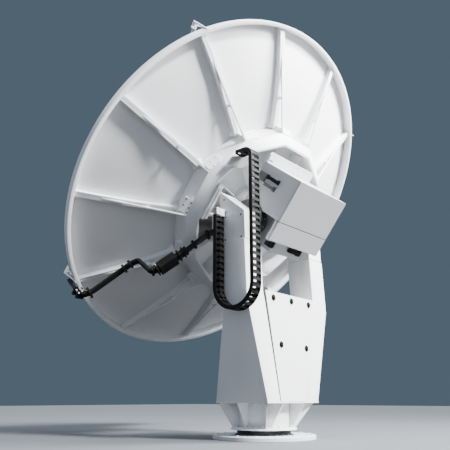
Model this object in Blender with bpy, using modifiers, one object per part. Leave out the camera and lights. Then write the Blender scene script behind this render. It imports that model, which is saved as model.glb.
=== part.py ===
"""Weather radar: a reflector on a fork that turns in azimuth and elevation, standing on a round base plate.

Metres, +Z up. The origin is on the azimuth axis, at the underside of the base plate. +X runs along the
elevation axis, and +Y is the horizontal heading of the beam. The pieces that tilt are placed under an empty on
the elevation axis: in its frame +Y is the beam and +Z is square to it.
"""

import math

import bmesh
import bpy
import mathutils

# Driving dimensions of the reflector and of where it is held
DISH_RADIUS = 2.25
FOCAL_LENGTH = 2.3
AXIS_TO_RIM = 0.886
AXIS_Y = -0.177
AXIS_Z = 2.412
REST_ELEVATION = math.radians(38.65)
RIB_COUNT = 12
FIRST_RIB_ANGLE = math.radians(15)
GAP = 0.0003

# Reflector shell, rim, ribs and hub
SHELL_THICKNESS = 0.012
SHELL_FORWARD = 0.09
RIM_WALL = 0.012
RIM_FRONT = 0.012
RIM_DEPTH = 0.057
RIM_BAND = 0.045
SHELL_RADII = (0.0, 0.25, 0.5, 0.75, 1.0, 1.25, 1.5, 1.75, 2.0)
SHELL_STEPS = 72
RIB_HALF = 0.032
RIB_SIDE = 0.08
RIB_END_GAP = 0.0018
RIB_RIM_DEPTH = 0.014
RIB_HUB_DEPTH = 0.57
HUB_CORNER_RADIUS = 1.09
HUB_CREST_RADIUS = 0.985
HUB_INNER_RADIUS = 0.93
HUB_CREST_DEPTH = 0.68
DRUM_RADIUS = 0.43
MOUNT_PLATE_Y = 0.17
MOUNT_PLATE_HALF = 0.44
MOUNT_PLATE_HIGH = 0.80
MOUNT_PLATE_THICKNESS = 0.03

# Receiver box and cradle, in the elevation frame
BOX_HALF_WIDTH = 0.48
BOX_REAR_Y = -0.444
BOX_LOW = 0.175
BOX_HIGH = 0.675
CRADLE_CORE_HALF = 0.30
CRADLE_REAR_Y = -0.384
CRADLE_LOW = -0.20
STRIP_LOW = -0.065
STRIP_HIGH = 0.137
SHAFT_RADIUS = 0.10
SHAFT_END = 0.56

# Pedestal
BASE_RADIUS = 0.573
BASE_THICKNESS = 0.042
RING_RADIUS = 0.30
RING_TOP = 0.095
FLANGE_RADIUS = 0.367
FLANGE_TOP = 0.115
ADAPTOR_RADIUS = 0.285
FIN_FOOT = 0.36
FIN_HALF = 0.008
BODY_BOTTOM = 0.390
KINK_Z = 1.434
PANEL_TOP = 1.546
HEAD_SEAM_Z = 2.072
BOTTOM_HALF_WIDTH = 0.479
PANEL_BOTTOM_HALF = 0.255
ARM_OUTER = 0.778
ARM_INNER = 0.492
HEAD_OUTER = 0.765
BODY_REAR = -0.424
KINK_REAR = -0.408
SEAM_REAR = -0.382
HEAD_REAR = -0.37
HEAD_REAR_TOP = 2.40
HEAD_PEAK_Y = -0.02
HEAD_PEAK_Z = 2.693
HEAD_FRONT = -0.01
SEAM_FRONT = -0.05
KINK_FRONT = -0.09
BODY_FRONT = 0.287
PANEL_THICKNESS = 0.02
FOOT_PLATE_THICKNESS = 0.014

# Energy chain on the outside of the left arm
CHAIN_X = -0.863
CHAIN_WIDTH = 0.135
CHAIN_THICKNESS = 0.045
CHAIN_FRONT_Y = -0.10
CHAIN_REAR_Y = -0.58
CHAIN_BEND_Z = 1.565
CHAIN_FRONT_TOP = 2.33
CHAIN_REAR_TOP = 2.90
CHAIN_CURL = 0.13
ANCHOR_HALF = 0.035
ANCHOR_HEIGHT = 0.08

# Feed, waveguide and small fittings
FEED_STRUT_RADIUS = 0.022
FEED_COLLAR_RADIUS = 0.14
FEED_TUBE_RADIUS = 0.07
LUG_OUT = 2.33
LUG_REAR = 0.04
LUG_FORWARD = 0.19
WAVEGUIDE_ANGLE = math.radians(225)
WAVEGUIDE_START = math.radians(210)
WAVEGUIDE_HALF = 0.03
HUB_RUN_DEPTH = 0.60
FILTER_START = (1.14, 0.730, -0.22)
FILTER_END = (1.51, 0.725, -0.18)
FILTER_HALF_WIDTH = 0.045
FILTER_HALF_DEPTH = 0.05
FILTER_STUB = 0.04
HORN_RADIUS = 0.11
HORN_MOUTH = 0.075
FEED_LENGTH = 0.30
COLLAR_START = 0.16
COLLAR_THICKNESS = 0.04
HANDLE_OUT = 0.035
HANDLE_FRONT = 0.02
HANDLE_REAR = -0.16
HANDLE_HEIGHT = 0.545
HANDLE_RADIUS = 0.009
CONNECTOR_HEIGHT = 0.06

# Deck between the arms, and the gearbox on it
DECK_DROP = 0.06
DECK_THICKNESS = 0.02
GEARBOX_LEFT = -0.47
GEARBOX_RIGHT = -0.30
GEARBOX_REAR = -0.32
GEARBOX_FRONT = -0.16
GEARBOX_RISE = 0.05
PANEL_INSET = 0.006

WHITE = (0.86, 0.87, 0.88)
LIGHT_GREY = (0.62, 0.63, 0.65)
DARK_GREY = (0.06, 0.065, 0.07)
BLACK = (0.015, 0.016, 0.018)
STEEL = (0.30, 0.31, 0.32)


def clear_scene():
    for thing in list(bpy.data.objects):
        bpy.data.objects.remove(thing, do_unlink=True)


def new_collection(name):
    made = bpy.data.collections.new(name)
    bpy.context.scene.collection.children.link(made)
    return made


def paint(thing, colour, roughness=0.45, metallic=0.0):
    finish = bpy.data.materials.new(thing.name + "_finish")
    finish.use_nodes = True
    shader = finish.node_tree.nodes["Principled BSDF"]
    shader.inputs["Base Color"].default_value = (*colour, 1.0)
    shader.inputs["Roughness"].default_value = roughness
    shader.inputs["Metallic"].default_value = metallic
    thing.data.materials.append(finish)
    finish.diffuse_color = (*colour, 1.0)


def keep(thing, parent, colour, roughness=0.45, metallic=0.0):
    """Files a finished piece under its carrier, in the object's collection."""
    PARTS.objects.link(thing)
    thing.parent = parent
    paint(thing, colour, roughness, metallic)
    return thing


def as_cutter(thing, parent=None):
    CUTTERS.objects.link(thing)
    thing.parent = parent
    thing.hide_render = True
    thing.display_type = "WIRE"
    return thing


def cut(thing, cutter, operation="DIFFERENCE"):
    boolean = thing.modifiers.new(operation.lower(), "BOOLEAN")
    boolean.operation = operation
    boolean.solver = "EXACT"
    boolean.object = cutter


def soften(thing, width, segments=1):
    bevel = thing.modifiers.new("edges", "BEVEL")
    bevel.width = width
    bevel.segments = segments
    bevel.limit_method = "ANGLE"
    bevel.angle_limit = math.radians(35)


def box(name, low, high):
    """A cuboid between two corners, as an unlinked object with its origin at its middle."""
    bpy.ops.mesh.primitive_cube_add(size=1.0)
    made = bpy.context.object
    made.name = name
    made.location = [(a + b) / 2 for a, b in zip(low, high)]
    made.scale = [b - a for a, b in zip(low, high)]
    bake_scale(made)
    unlink(made)
    return made


def bake_scale(thing):
    size = mathutils.Matrix.Diagonal((*thing.scale, 1.0))
    thing.data.transform(size)
    thing.scale = (1.0, 1.0, 1.0)


def unlink(thing):
    for group in list(thing.users_collection):
        group.objects.unlink(thing)


def cylinder(name, radius, depth, sides=48):
    """A cylinder along local Z, centred on its origin."""
    bpy.ops.mesh.primitive_cylinder_add(vertices=sides, radius=radius, depth=depth)
    made = bpy.context.object
    made.name = name
    shade_by_angle(made.data)
    unlink(made)
    return made


def shade_by_angle(mesh, limit=math.radians(40)):
    mesh.shade_smooth()
    mesh.set_sharp_from_angle(angle=limit)


def turned(name, profile, steps, start=0.0):
    """A ring or disc: a closed profile of (radius, height) turned round local Z from the start angle."""
    mesh = bpy.data.meshes.new(name)
    points = [(r * math.cos(start), r * math.sin(start), h) for r, h in profile]
    on_axis = profile[0][0] == 0.0 and profile[-1][0] == 0.0
    edges = [(i, i + 1) for i in range(len(points) - 1)]
    if not on_axis:
        edges.append((len(points) - 1, 0))
    mesh.from_pydata(points, edges, [])
    made = bpy.data.objects.new(name, mesh)
    screw = made.modifiers.new("turn", "SCREW")
    screw.steps = steps
    screw.render_steps = steps
    screw.use_merge_vertices = True
    screw.merge_threshold = 0.0001
    screw.use_normal_calculate = False
    area = sum(a[0] * b[1] - b[0] * a[1] for a, b in zip(profile, [*profile[1:], profile[0]]))
    screw.use_normal_flip = area > 0
    screw.use_smooth_shade = False
    return made


def flat_piece(name, outline, thickness):
    """A plate with this outline in local XY, centred on local z = 0."""
    curve = bpy.data.curves.new(name + "_outline", "CURVE")
    curve.dimensions = "2D"
    curve.fill_mode = "BOTH"
    curve.extrude = thickness / 2
    spline = curve.splines.new("POLY")
    spline.points.add(len(outline) - 1)
    for point, (a, b) in zip(spline.points, outline):
        point.co = (a, b, 0.0, 1.0)
    spline.use_cyclic_u = True
    holder = bpy.data.objects.new(name + "_outline", curve)
    bpy.context.scene.collection.objects.link(holder)
    bpy.context.view_layer.update()
    graph = bpy.context.evaluated_depsgraph_get()
    mesh = bpy.data.meshes.new_from_object(holder.evaluated_get(graph))
    bpy.data.objects.remove(holder, do_unlink=True)
    mesh.name = name
    return bpy.data.objects.new(name, weld_mesh(mesh))


def weld_mesh(mesh, distance=0.00001):
    edit = bmesh.new()
    edit.from_mesh(mesh)
    bmesh.ops.remove_doubles(edit, verts=edit.verts, dist=distance)
    bmesh.ops.dissolve_limit(edit, angle_limit=0.001, verts=edit.verts, edges=edit.edges)
    bmesh.ops.recalc_face_normals(edit, faces=edit.faces)
    edit.to_mesh(mesh)
    edit.free()
    return mesh


def side_plate(name, outline, low_x, high_x):
    """A plate with its outline in the (Y, Z) plane, between two X planes."""
    made = flat_piece(name, outline, high_x - low_x)
    made.rotation_euler = (math.pi / 2, 0.0, math.pi / 2)
    made.location.x = (low_x + high_x) / 2
    return made


def face_plate(name, outline, low_y, high_y):
    """A plate with its outline in the (X, Z) plane, between two Y planes."""
    made = flat_piece(name, outline, high_y - low_y)
    made.rotation_euler = (math.pi / 2, 0.0, 0.0)
    made.location.y = (low_y + high_y) / 2
    return made


def tube_along(name, route, radius, sides_each=2):
    """A round tube through the points of a route, as a closed mesh."""
    curve = bpy.data.curves.new(name, "CURVE")
    curve.dimensions = "3D"
    curve.bevel_depth = radius
    curve.bevel_resolution = sides_each
    curve.use_fill_caps = True
    spline = curve.splines.new("POLY")
    spline.points.add(len(route) - 1)
    for point, place in zip(spline.points, route):
        point.co = (*place, 1.0)
    spline.use_smooth = True
    return bpy.data.objects.new(name, curve)


def empty(name, location, rotation=(0.0, 0.0, 0.0)):
    made = bpy.data.objects.new(name, None)
    made.location = location
    made.rotation_euler = rotation
    PARTS.objects.link(made)
    return made


def dish_depth(radius):
    """How far behind the rim plane the front of the shell lies."""
    return (DISH_RADIUS**2 - radius**2) / (4 * FOCAL_LENGTH) - SHELL_FORWARD


def rim_inner_radius():
    return DISH_RADIUS - RIM_BAND


def shell_edge_radius():
    return rim_inner_radius() - GAP


def shell_samples():
    return [*SHELL_RADII, shell_edge_radius()]


def shell_back(radius):
    """Depth of the faceted shell's back at a radius, read along its straight stretches."""
    radii = shell_samples()
    for inner, outer in zip(radii, radii[1:]):
        if radius <= outer:
            share = (radius - inner) / (outer - inner)
            return dish_depth(inner) * (1 - share) + dish_depth(outer) * share + SHELL_THICKNESS
    return dish_depth(radii[-1]) + SHELL_THICKNESS


def beam_y(depth):
    """Height along the beam, in the elevation frame, of a depth behind the rim plane."""
    return AXIS_TO_RIM - depth


def along_beam(thing):
    """Turns a piece made round local Z so that its axis is the beam."""
    thing.rotation_euler = (-math.pi / 2, 0.0, 0.0)
    return thing


def make_reflector(parent):
    radii = shell_samples()
    front = [(r, beam_y(dish_depth(r))) for r in radii]
    back = [(r, beam_y(dish_depth(r) + SHELL_THICKNESS)) for r in radii]
    shell = along_beam(turned("reflector", back + front[::-1], SHELL_STEPS))
    keep(shell, parent, WHITE, 0.5)


def make_rim(parent):
    """A channel open to the front: a wall on the shell's edge, a narrow flange behind it and an outer wall."""
    inner, wall = rim_inner_radius(), DISH_RADIUS - RIM_WALL
    shell_front = dish_depth(shell_edge_radius())
    profile = [
        (DISH_RADIUS, beam_y(-RIM_FRONT)),
        (DISH_RADIUS, beam_y(RIM_DEPTH)),
        (inner, beam_y(RIM_DEPTH)),
        (inner, beam_y(shell_front)),
        (inner + RIM_WALL, beam_y(shell_front)),
        (inner + RIM_WALL, beam_y(RIM_DEPTH - RIM_WALL)),
        (wall, beam_y(RIM_DEPTH - RIM_WALL)),
        (wall, beam_y(-RIM_FRONT)),
    ]
    keep(along_beam(turned("rim_ring", profile, SHELL_STEPS)), parent, WHITE)


def rib_ridge(radius):
    """Depth of a rib's ridge: a straight line from the hub ring to the rim, never under its sides."""
    share = (radius - HUB_CORNER_RADIUS) / (rim_inner_radius() - HUB_CORNER_RADIUS)
    straight = RIB_HUB_DEPTH + (RIB_RIM_DEPTH - RIB_HUB_DEPTH) * share
    return max(straight, shell_back(radius) + GAP + RIB_SIDE)


def ridged_beam(name, stations, half):
    """A beam along local X from (x, foot, eave, ridge) stations: two upright sides and a roof between them."""
    points = []
    for x, foot, eave, ridge in stations:
        points += [(x, foot, -half), (x, eave, -half), (x, ridge, 0.0), (x, eave, half), (x, foot, half)]
    corners = 5
    last = len(points) - corners
    faces = [tuple(range(corners)), tuple(range(last, len(points)))]
    for start in range(0, last, corners):
        for corner in range(corners):
            after = (corner + 1) % corners
            near = (start + corner, start + after)
            faces.append((*near, start + corners + after, start + corners + corner))
    mesh = bpy.data.meshes.new(name)
    mesh.from_pydata(points, [], faces)
    edit = bmesh.new()
    edit.from_mesh(mesh)
    bmesh.ops.triangulate(edit, faces=edit.faces)
    bmesh.ops.recalc_face_normals(edit, faces=edit.faces)
    edit.to_mesh(mesh)
    edit.free()
    return bpy.data.objects.new(name, mesh)


def make_ribs(parent):
    inner, outer = HUB_CORNER_RADIUS + GAP, rim_inner_radius() - RIB_END_GAP
    stations = []
    for radius in [inner, *[r for r in SHELL_RADII if inner < r < outer], outer]:
        foot = shell_back(radius) + GAP
        stations.append((radius, beam_y(foot), beam_y(foot + RIB_SIDE), beam_y(rib_ridge(radius))))
    for number in range(RIB_COUNT):
        rib = ridged_beam(f"rib_{number + 1:02d}", stations, RIB_HALF)
        rib.rotation_euler = (0.0, -(FIRST_RIB_ANGLE + number * 2 * math.pi / RIB_COUNT), 0.0)
        # The beam runs outwards along local x, its depth along the beam and its width round the dish.
        keep(rib, parent, WHITE)


def make_hub(parent):
    flat = math.cos(math.pi / RIB_COUNT)
    inner, outer = HUB_INNER_RADIUS * flat, HUB_CORNER_RADIUS * flat
    under = [inner, *[r for r in SHELL_RADII if inner < r < outer], outer]
    profile = [
        *[(r / flat, beam_y(shell_back(r) + GAP)) for r in under],
        (HUB_CORNER_RADIUS, beam_y(RIB_HUB_DEPTH)),
        (HUB_CREST_RADIUS, beam_y(HUB_CREST_DEPTH)),
        (HUB_INNER_RADIUS, beam_y(HUB_CREST_DEPTH)),
    ]
    start = -FIRST_RIB_ANGLE
    keep(along_beam(turned("hub_ring", profile, RIB_COUNT, start)), parent, WHITE)
    rear = MOUNT_PLATE_Y + MOUNT_PLATE_THICKNESS + GAP
    front = [(r, beam_y(shell_back(r) + GAP)) for r in (DRUM_RADIUS, 0.25, 0.0)]
    keep(along_beam(turned("hub_drum", [(0.0, rear), (DRUM_RADIUS, rear), *front], 48)), parent, WHITE)


def make_receiver(parent):
    rear = MOUNT_PLATE_Y
    plate_front = rear + MOUNT_PLATE_THICKNESS
    low_corner = (-MOUNT_PLATE_HALF, rear, CRADLE_LOW)
    plate = box("mount_plate", low_corner, (MOUNT_PLATE_HALF, plate_front, MOUNT_PLATE_HIGH))
    keep(plate, parent, WHITE)
    low_corner = (-BOX_HALF_WIDTH, BOX_REAR_Y, BOX_LOW)
    cabinet = box("receiver_box", low_corner, (BOX_HALF_WIDTH, rear - GAP, BOX_HIGH))
    soften(cabinet, 0.006)
    keep(cabinet, parent, LIGHT_GREY)
    low_corner = (-CRADLE_CORE_HALF, CRADLE_REAR_Y, CRADLE_LOW)
    core = box("cradle", low_corner, (CRADLE_CORE_HALF, rear - GAP, BOX_LOW - GAP))
    keep(core, parent, DARK_GREY)
    for side, sign in (("left", -1), ("right", 1)):
        shaft = cylinder(side + "_shaft", SHAFT_RADIUS, SHAFT_END - CRADLE_CORE_HALF - GAP)
        shaft.rotation_euler = (0.0, math.pi / 2, 0.0)
        shaft.location.x = sign * (SHAFT_END + CRADLE_CORE_HALF + GAP) / 2
        keep(shaft, parent, STEEL, 0.35, 0.8)
    strip = box(
        "cradle_rear_panel",
        (-BOX_HALF_WIDTH, BOX_REAR_Y, STRIP_LOW),
        (BOX_HALF_WIDTH, CRADLE_REAR_Y - GAP, STRIP_HIGH),
    )
    keep(strip, parent, LIGHT_GREY)


def make_box_fittings(parent):
    """The handle on the box's left side, and the connectors under the cradle's rear edge."""
    side = -BOX_HALF_WIDTH
    route = [
        (side - GAP, HANDLE_FRONT, HANDLE_HEIGHT),
        (side - HANDLE_OUT, HANDLE_FRONT, HANDLE_HEIGHT),
        (side - HANDLE_OUT, HANDLE_REAR, HANDLE_HEIGHT),
        (side - GAP, HANDLE_REAR, HANDLE_HEIGHT),
    ]
    keep(tube_along("box_handle", route, HANDLE_RADIUS), parent, BLACK, 0.5)
    low = STRIP_LOW - GAP - CONNECTOR_HEIGHT
    places = (("left", -0.47, -0.33), ("right", -0.03, 0.20))
    for side_name, low_x, high_x in places:
        low_corner = (low_x, BOX_REAR_Y + 0.002, low)
        high_corner = (high_x, CRADLE_REAR_Y - GAP, STRIP_LOW - GAP)
        plug = box(side_name + "_connector", low_corner, high_corner)
        soften(plug, 0.012)
        keep(plug, parent, BLACK, 0.5)


def beside_rib(radius, depth, aside, angle=WAVEGUIDE_ANGLE):
    """A point of the tilting frame from its distance out, depth behind the rim and step round the dish."""
    outward = mathutils.Vector((math.cos(angle), 0.0, math.sin(angle)))
    round_way = mathutils.Vector((-math.sin(angle), 0.0, math.cos(angle)))
    return outward * radius + round_way * aside + mathutils.Vector((0.0, beam_y(depth), 0.0))


def make_waveguide(parent):
    """The black line from the hub to the rim, with the filter in its first stretch."""
    start, end = beside_rib(*FILTER_START), beside_rib(*FILTER_END)
    onward = (end - start).normalized()
    hub_run = [
        beside_rib(DRUM_RADIUS + GAP, HUB_RUN_DEPTH, 0.0, WAVEGUIDE_START),
        beside_rib(DRUM_RADIUS + 0.12, HUB_RUN_DEPTH, 0.0, WAVEGUIDE_START),
        beside_rib(0.81, 0.706, -0.25),
        start - onward * 0.10,
        start - onward * GAP,
    ]
    keep(tube_along("waveguide_hub_run", hub_run, WAVEGUIDE_HALF, 0), parent, BLACK)
    low_corner = (-FILTER_HALF_WIDTH, -FILTER_HALF_DEPTH, 0.0)
    high_corner = (FILTER_HALF_WIDTH, FILTER_HALF_DEPTH, (end - start).length)
    block = box("waveguide_filter", low_corner, high_corner)
    block.rotation_euler = (end - start).to_track_quat("Z", "Y").to_euler()
    block.location = (start + end) / 2
    keep(block, parent, BLACK)
    # Radius, depth behind the rim plane and step aside of each bend on the way out to the rim.
    rim_run = [
        (1.57, 0.69, -0.18),
        (1.575, 0.42, -0.175),
        (1.65, 0.385, -0.155),
        (2.20, 0.30, -0.05),
        (2.33, 0.27, -0.04),
        (2.36, 0.12, -0.04),
        (2.36, -0.15, -0.04),
    ]
    route = [end + onward * GAP, end + onward * FILTER_STUB, *[beside_rib(*p) for p in rim_run]]
    keep(tube_along("waveguide_rim_run", route, WAVEGUIDE_HALF, 0), parent, BLACK)


def make_feed(parent):
    """The horn at the focus, held by four struts from lugs on the rim."""
    focus = beam_y(dish_depth(0.0)) + FOCAL_LENGTH
    profile = [
        (0.0, focus - 0.05),
        (HORN_MOUTH, focus - 0.05),
        (HORN_RADIUS, focus - 0.10),
        (HORN_RADIUS, focus + 0.02),
        (FEED_TUBE_RADIUS, focus + 0.10),
        (FEED_TUBE_RADIUS, focus + FEED_LENGTH),
        (0.0, focus + FEED_LENGTH),
    ]
    keep(along_beam(turned("feed_horn", profile, 32)), parent, WHITE)
    ring_low, ring_high = focus + COLLAR_START, focus + COLLAR_START + COLLAR_THICKNESS
    collar = [
        (FEED_TUBE_RADIUS + GAP, ring_low),
        (FEED_COLLAR_RADIUS, ring_low),
        (FEED_COLLAR_RADIUS, ring_high),
        (FEED_TUBE_RADIUS + GAP, ring_high),
    ]
    keep(along_beam(turned("feed_collar", collar, 32)), parent, WHITE)
    clear = cylinder("collar_clearance", FEED_COLLAR_RADIUS + GAP, ring_high - ring_low + 0.2, 32)
    clear.location.y = (ring_low + ring_high) / 2
    as_cutter(along_beam(clear), parent)
    inner_end = dish_depth(0.0) - FOCAL_LENGTH - COLLAR_START - COLLAR_THICKNESS / 2
    for number in range(4):
        angle = math.radians(45 + 90 * number)
        name = f"feed_strut_{number + 1}"
        strut = flat_piece(name, [
            (DISH_RADIUS + GAP, beam_y(LUG_REAR)),
            (LUG_OUT, beam_y(LUG_REAR)),
            (LUG_OUT, beam_y(-LUG_FORWARD)),
            (DISH_RADIUS + GAP, beam_y(-LUG_FORWARD)),
        ], 0.02)
        strut.rotation_euler = (0.0, -angle, 0.0)
        keep(strut, parent, WHITE)
        route = [beside_rib(2.29, -0.13, 0.0, angle), beside_rib(0.10, inner_end, 0.0, angle)]
        tube = solid_from_curve(tube_along(name + "_tube", route, FEED_STRUT_RADIUS))
        as_cutter(tube, parent)
        cut(strut, tube, "UNION")
        cut(strut, clear)


def solid_from_curve(thing):
    bpy.context.scene.collection.objects.link(thing)
    bpy.context.view_layer.update()
    graph = bpy.context.evaluated_depsgraph_get()
    mesh = weld_mesh(bpy.data.meshes.new_from_object(thing.evaluated_get(graph)))
    name = thing.name
    bpy.data.objects.remove(thing, do_unlink=True)
    return bpy.data.objects.new(name, mesh)


def fork_side_outline():
    """The pedestal from the side, as (Y, Z), from the bottom up to the head's seam."""
    return [
        (BODY_REAR, BODY_BOTTOM),
        (BODY_FRONT, BODY_BOTTOM),
        (KINK_FRONT, KINK_Z),
        (SEAM_FRONT, HEAD_SEAM_Z - GAP),
        (SEAM_REAR, HEAD_SEAM_Z - GAP),
        (KINK_REAR, KINK_Z),
    ]


def head_outline():
    return [
        (SEAM_REAR, HEAD_SEAM_Z),
        (SEAM_FRONT, HEAD_SEAM_Z),
        (HEAD_FRONT, HEAD_PEAK_Z - 0.12),
        (HEAD_PEAK_Y, HEAD_PEAK_Z),
        (HEAD_REAR, HEAD_REAR_TOP),
    ]


def make_fork(parent):
    for side, sign in (("left", -1), ("right", 1)):
        outline = [
            (sign * BOTTOM_HALF_WIDTH, BODY_BOTTOM),
            (sign * ARM_OUTER, KINK_Z),
            (sign * ARM_OUTER, HEAD_SEAM_Z + 0.2),
            (sign * ARM_INNER, HEAD_SEAM_Z + 0.2),
            (sign * ARM_INNER, PANEL_TOP),
            (sign * PANEL_BOTTOM_HALF, BODY_BOTTOM),
        ]
        column = face_plate(side + "_column", outline, -1.0, 1.0)
        low, high = sorted((0.0, sign))
        flank = as_cutter(side_plate(side + "_flank", fork_side_outline(), low, high), parent)
        keep(column, parent, WHITE)
        cut(column, flank, "INTERSECT")
        low, high = sorted((sign * ARM_INNER, sign * HEAD_OUTER))
        head = side_plate(side + "_head", head_outline(), low, high)
        keep(head, parent, WHITE)
        bore = cylinder(side + "_bore", (SHAFT_RADIUS + 0.0005) / math.cos(math.pi / 48), 0.2)
        bore.rotation_euler = (0.0, math.pi / 2, 0.0)
        bore.location = (sign * (ARM_INNER + 0.08 - 0.1), AXIS_Y, AXIS_Z)
        cut(head, as_cutter(bore, parent))


def slope_y(z, low, high, z_low, z_high):
    return low + (high - low) * (z - z_low) / (z_high - z_low)


def make_body(parent):
    rear_face = BODY_REAR + PANEL_INSET
    trapezoid = [
        (-PANEL_BOTTOM_HALF + GAP, BODY_BOTTOM),
        (PANEL_BOTTOM_HALF - GAP, BODY_BOTTOM),
        (ARM_INNER - 2 * GAP, PANEL_TOP),
        (-ARM_INNER + 2 * GAP, PANEL_TOP),
    ]
    rear = face_plate("rear_panel", trapezoid, rear_face, rear_face + PANEL_THICKNESS)
    keep(rear, parent, WHITE)
    front = face_plate("front_panel", trapezoid, -1.0, 1.0)
    keep(front, parent, WHITE)
    top_front = slope_y(PANEL_TOP, BODY_FRONT, KINK_FRONT, BODY_BOTTOM, KINK_Z)
    band = [
        (BODY_FRONT - PANEL_INSET, BODY_BOTTOM),
        (top_front - PANEL_INSET, PANEL_TOP),
        (top_front - PANEL_INSET - PANEL_THICKNESS, PANEL_TOP),
        (BODY_FRONT - PANEL_INSET - PANEL_THICKNESS, BODY_BOTTOM),
    ]
    cut(front, as_cutter(side_plate("front_band", band, -1.0, 1.0), parent), "INTERSECT")
    deck_low = PANEL_TOP - DECK_DROP
    deck_high = deck_low + DECK_THICKNESS
    half = slope_y(deck_low, PANEL_BOTTOM_HALF, ARM_INNER, BODY_BOTTOM, PANEL_TOP) - 0.001
    deck_rear = rear_face + PANEL_THICKNESS + GAP
    deck_front = top_front - PANEL_INSET - PANEL_THICKNESS - 0.004
    deck = box("deck_plate", (-half, deck_rear, deck_low), (half, deck_front, deck_high))
    keep(deck, parent, WHITE)
    low_corner = (GEARBOX_LEFT, GEARBOX_REAR, deck_high + GAP)
    high_corner = (GEARBOX_RIGHT, GEARBOX_FRONT, PANEL_TOP + GEARBOX_RISE)
    gearbox = box("deck_gearbox", low_corner, high_corner)
    soften(gearbox, 0.01)
    keep(gearbox, parent, DARK_GREY)
    low = BODY_BOTTOM - FOOT_PLATE_THICKNESS
    high_corner = (BOTTOM_HALF_WIDTH, BODY_FRONT, BODY_BOTTOM - GAP)
    foot = box("foot_plate", (-BOTTOM_HALF_WIDTH, BODY_REAR, low), high_corner)
    keep(foot, parent, WHITE)


def make_base(root, turning):
    plate = cylinder("base_plate", BASE_RADIUS, BASE_THICKNESS, 96)
    plate.location.z = BASE_THICKNESS / 2
    soften(plate, 0.006, 2)
    keep(plate, root, LIGHT_GREY)
    ring_low = BASE_THICKNESS + GAP
    ring = [(0.2, ring_low), (RING_RADIUS, ring_low), (RING_RADIUS, RING_TOP), (0.2, RING_TOP)]
    keep(turned("slewing_ring", ring, 96), root, DARK_GREY, 0.4, 0.6)
    flange = cylinder("turntable_flange", FLANGE_RADIUS, FLANGE_TOP - RING_TOP - 0.0005, 72)
    flange.location.z = (FLANGE_TOP + RING_TOP + 0.0005) / 2
    keep(flange, turning, WHITE)
    low = FLANGE_TOP + GAP
    high = BODY_BOTTOM - FOOT_PLATE_THICKNESS - GAP
    adaptor = cylinder("adaptor", ADAPTOR_RADIUS, high - low, 48)
    adaptor.location.z = (low + high) / 2
    keep(adaptor, turning, WHITE)
    corner = math.hypot(BOTTOM_HALF_WIDTH, BODY_REAR)
    rear_turn = math.atan2(-BODY_REAR, BOTTOM_HALF_WIDTH)
    front_turn = math.atan2(BODY_FRONT, BOTTOM_HALF_WIDTH)
    front_corner = math.hypot(BOTTOM_HALF_WIDTH, BODY_FRONT)
    # Each fin is a turn about the axis, a side step, and its reach at the top and at the bottom.
    fins = [
        (-rear_turn, 0.0, 0.90 * corner, FIN_FOOT),
        (math.pi + rear_turn, 0.0, 0.90 * corner, FIN_FOOT),
        (front_turn, 0.0, 0.94 * front_corner, FIN_FOOT),
        (math.pi - front_turn, 0.0, 0.94 * front_corner, FIN_FOOT),
        (0.0, 0.0, 0.46, 0.32),
        (math.pi, 0.0, 0.46, 0.32),
        (-math.pi / 2, -0.20, 0.42, 0.25),
        (-math.pi / 2, 0.20, 0.42, 0.25),
    ]
    for number, (turn, aside, top, foot) in enumerate(fins):
        fin_outline = [(0.1, low), (foot, low), (top, high), (0.1, high)]
        fin = face_plate(f"fin_{number + 1}", fin_outline, aside - FIN_HALF, aside + FIN_HALF)
        fin.location = mathutils.Matrix.Rotation(turn, 3, "Z") @ fin.location
        fin.rotation_euler = (math.pi / 2, 0.0, turn)
        cut(adaptor, as_cutter(fin, turning), "UNION")


def chain_route():
    """The chain's middle line as (Y, Z): down the arm, round the bend, up the rear and over to the hub."""
    radius = (CHAIN_FRONT_Y - CHAIN_REAR_Y) / 2
    points = [(CHAIN_FRONT_Y, CHAIN_FRONT_TOP)]
    for step in range(13):
        turn = math.pi * step / 12
        across = CHAIN_FRONT_Y - radius + radius * math.cos(turn)
        points.append((across, CHAIN_BEND_Z - radius * math.sin(turn)))
    for step in range(7):
        turn = math.radians(18 * step)
        across = CHAIN_REAR_Y + CHAIN_CURL * (1 - math.cos(turn))
        points.append((across, CHAIN_REAR_TOP + CHAIN_CURL * math.sin(turn)))
    return points


def make_chain(azimuth):
    """One flat band that follows the route, hung from an anchor on the left head."""
    route = chain_route()
    half = CHAIN_THICKNESS / 2
    outer, inner = [], []
    for index, (y, z) in enumerate(route):
        before = route[max(index - 1, 0)]
        after = route[min(index + 1, len(route) - 1)]
        along = mathutils.Vector((after[0] - before[0], after[1] - before[1])).normalized()
        outer.append((y - along.y * half, z + along.x * half))
        inner.append((y + along.y * half, z - along.x * half))
    low_x, high_x = CHAIN_X - CHAIN_WIDTH / 2, CHAIN_X + CHAIN_WIDTH / 2
    keep(side_plate("cable_chain", outer + inner[::-1], low_x, high_x), azimuth, BLACK)
    low_corner = (low_x, CHAIN_FRONT_Y - ANCHOR_HALF, CHAIN_FRONT_TOP + GAP)
    high_corner = (-HEAD_OUTER - GAP, CHAIN_FRONT_Y + ANCHOR_HALF, CHAIN_FRONT_TOP + ANCHOR_HEIGHT)
    keep(box("chain_anchor", low_corner, high_corner), azimuth, STEEL, 0.35, 0.8)


clear_scene()
PARTS = new_collection("weather_radar")
CUTTERS = new_collection("cutters")


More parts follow.
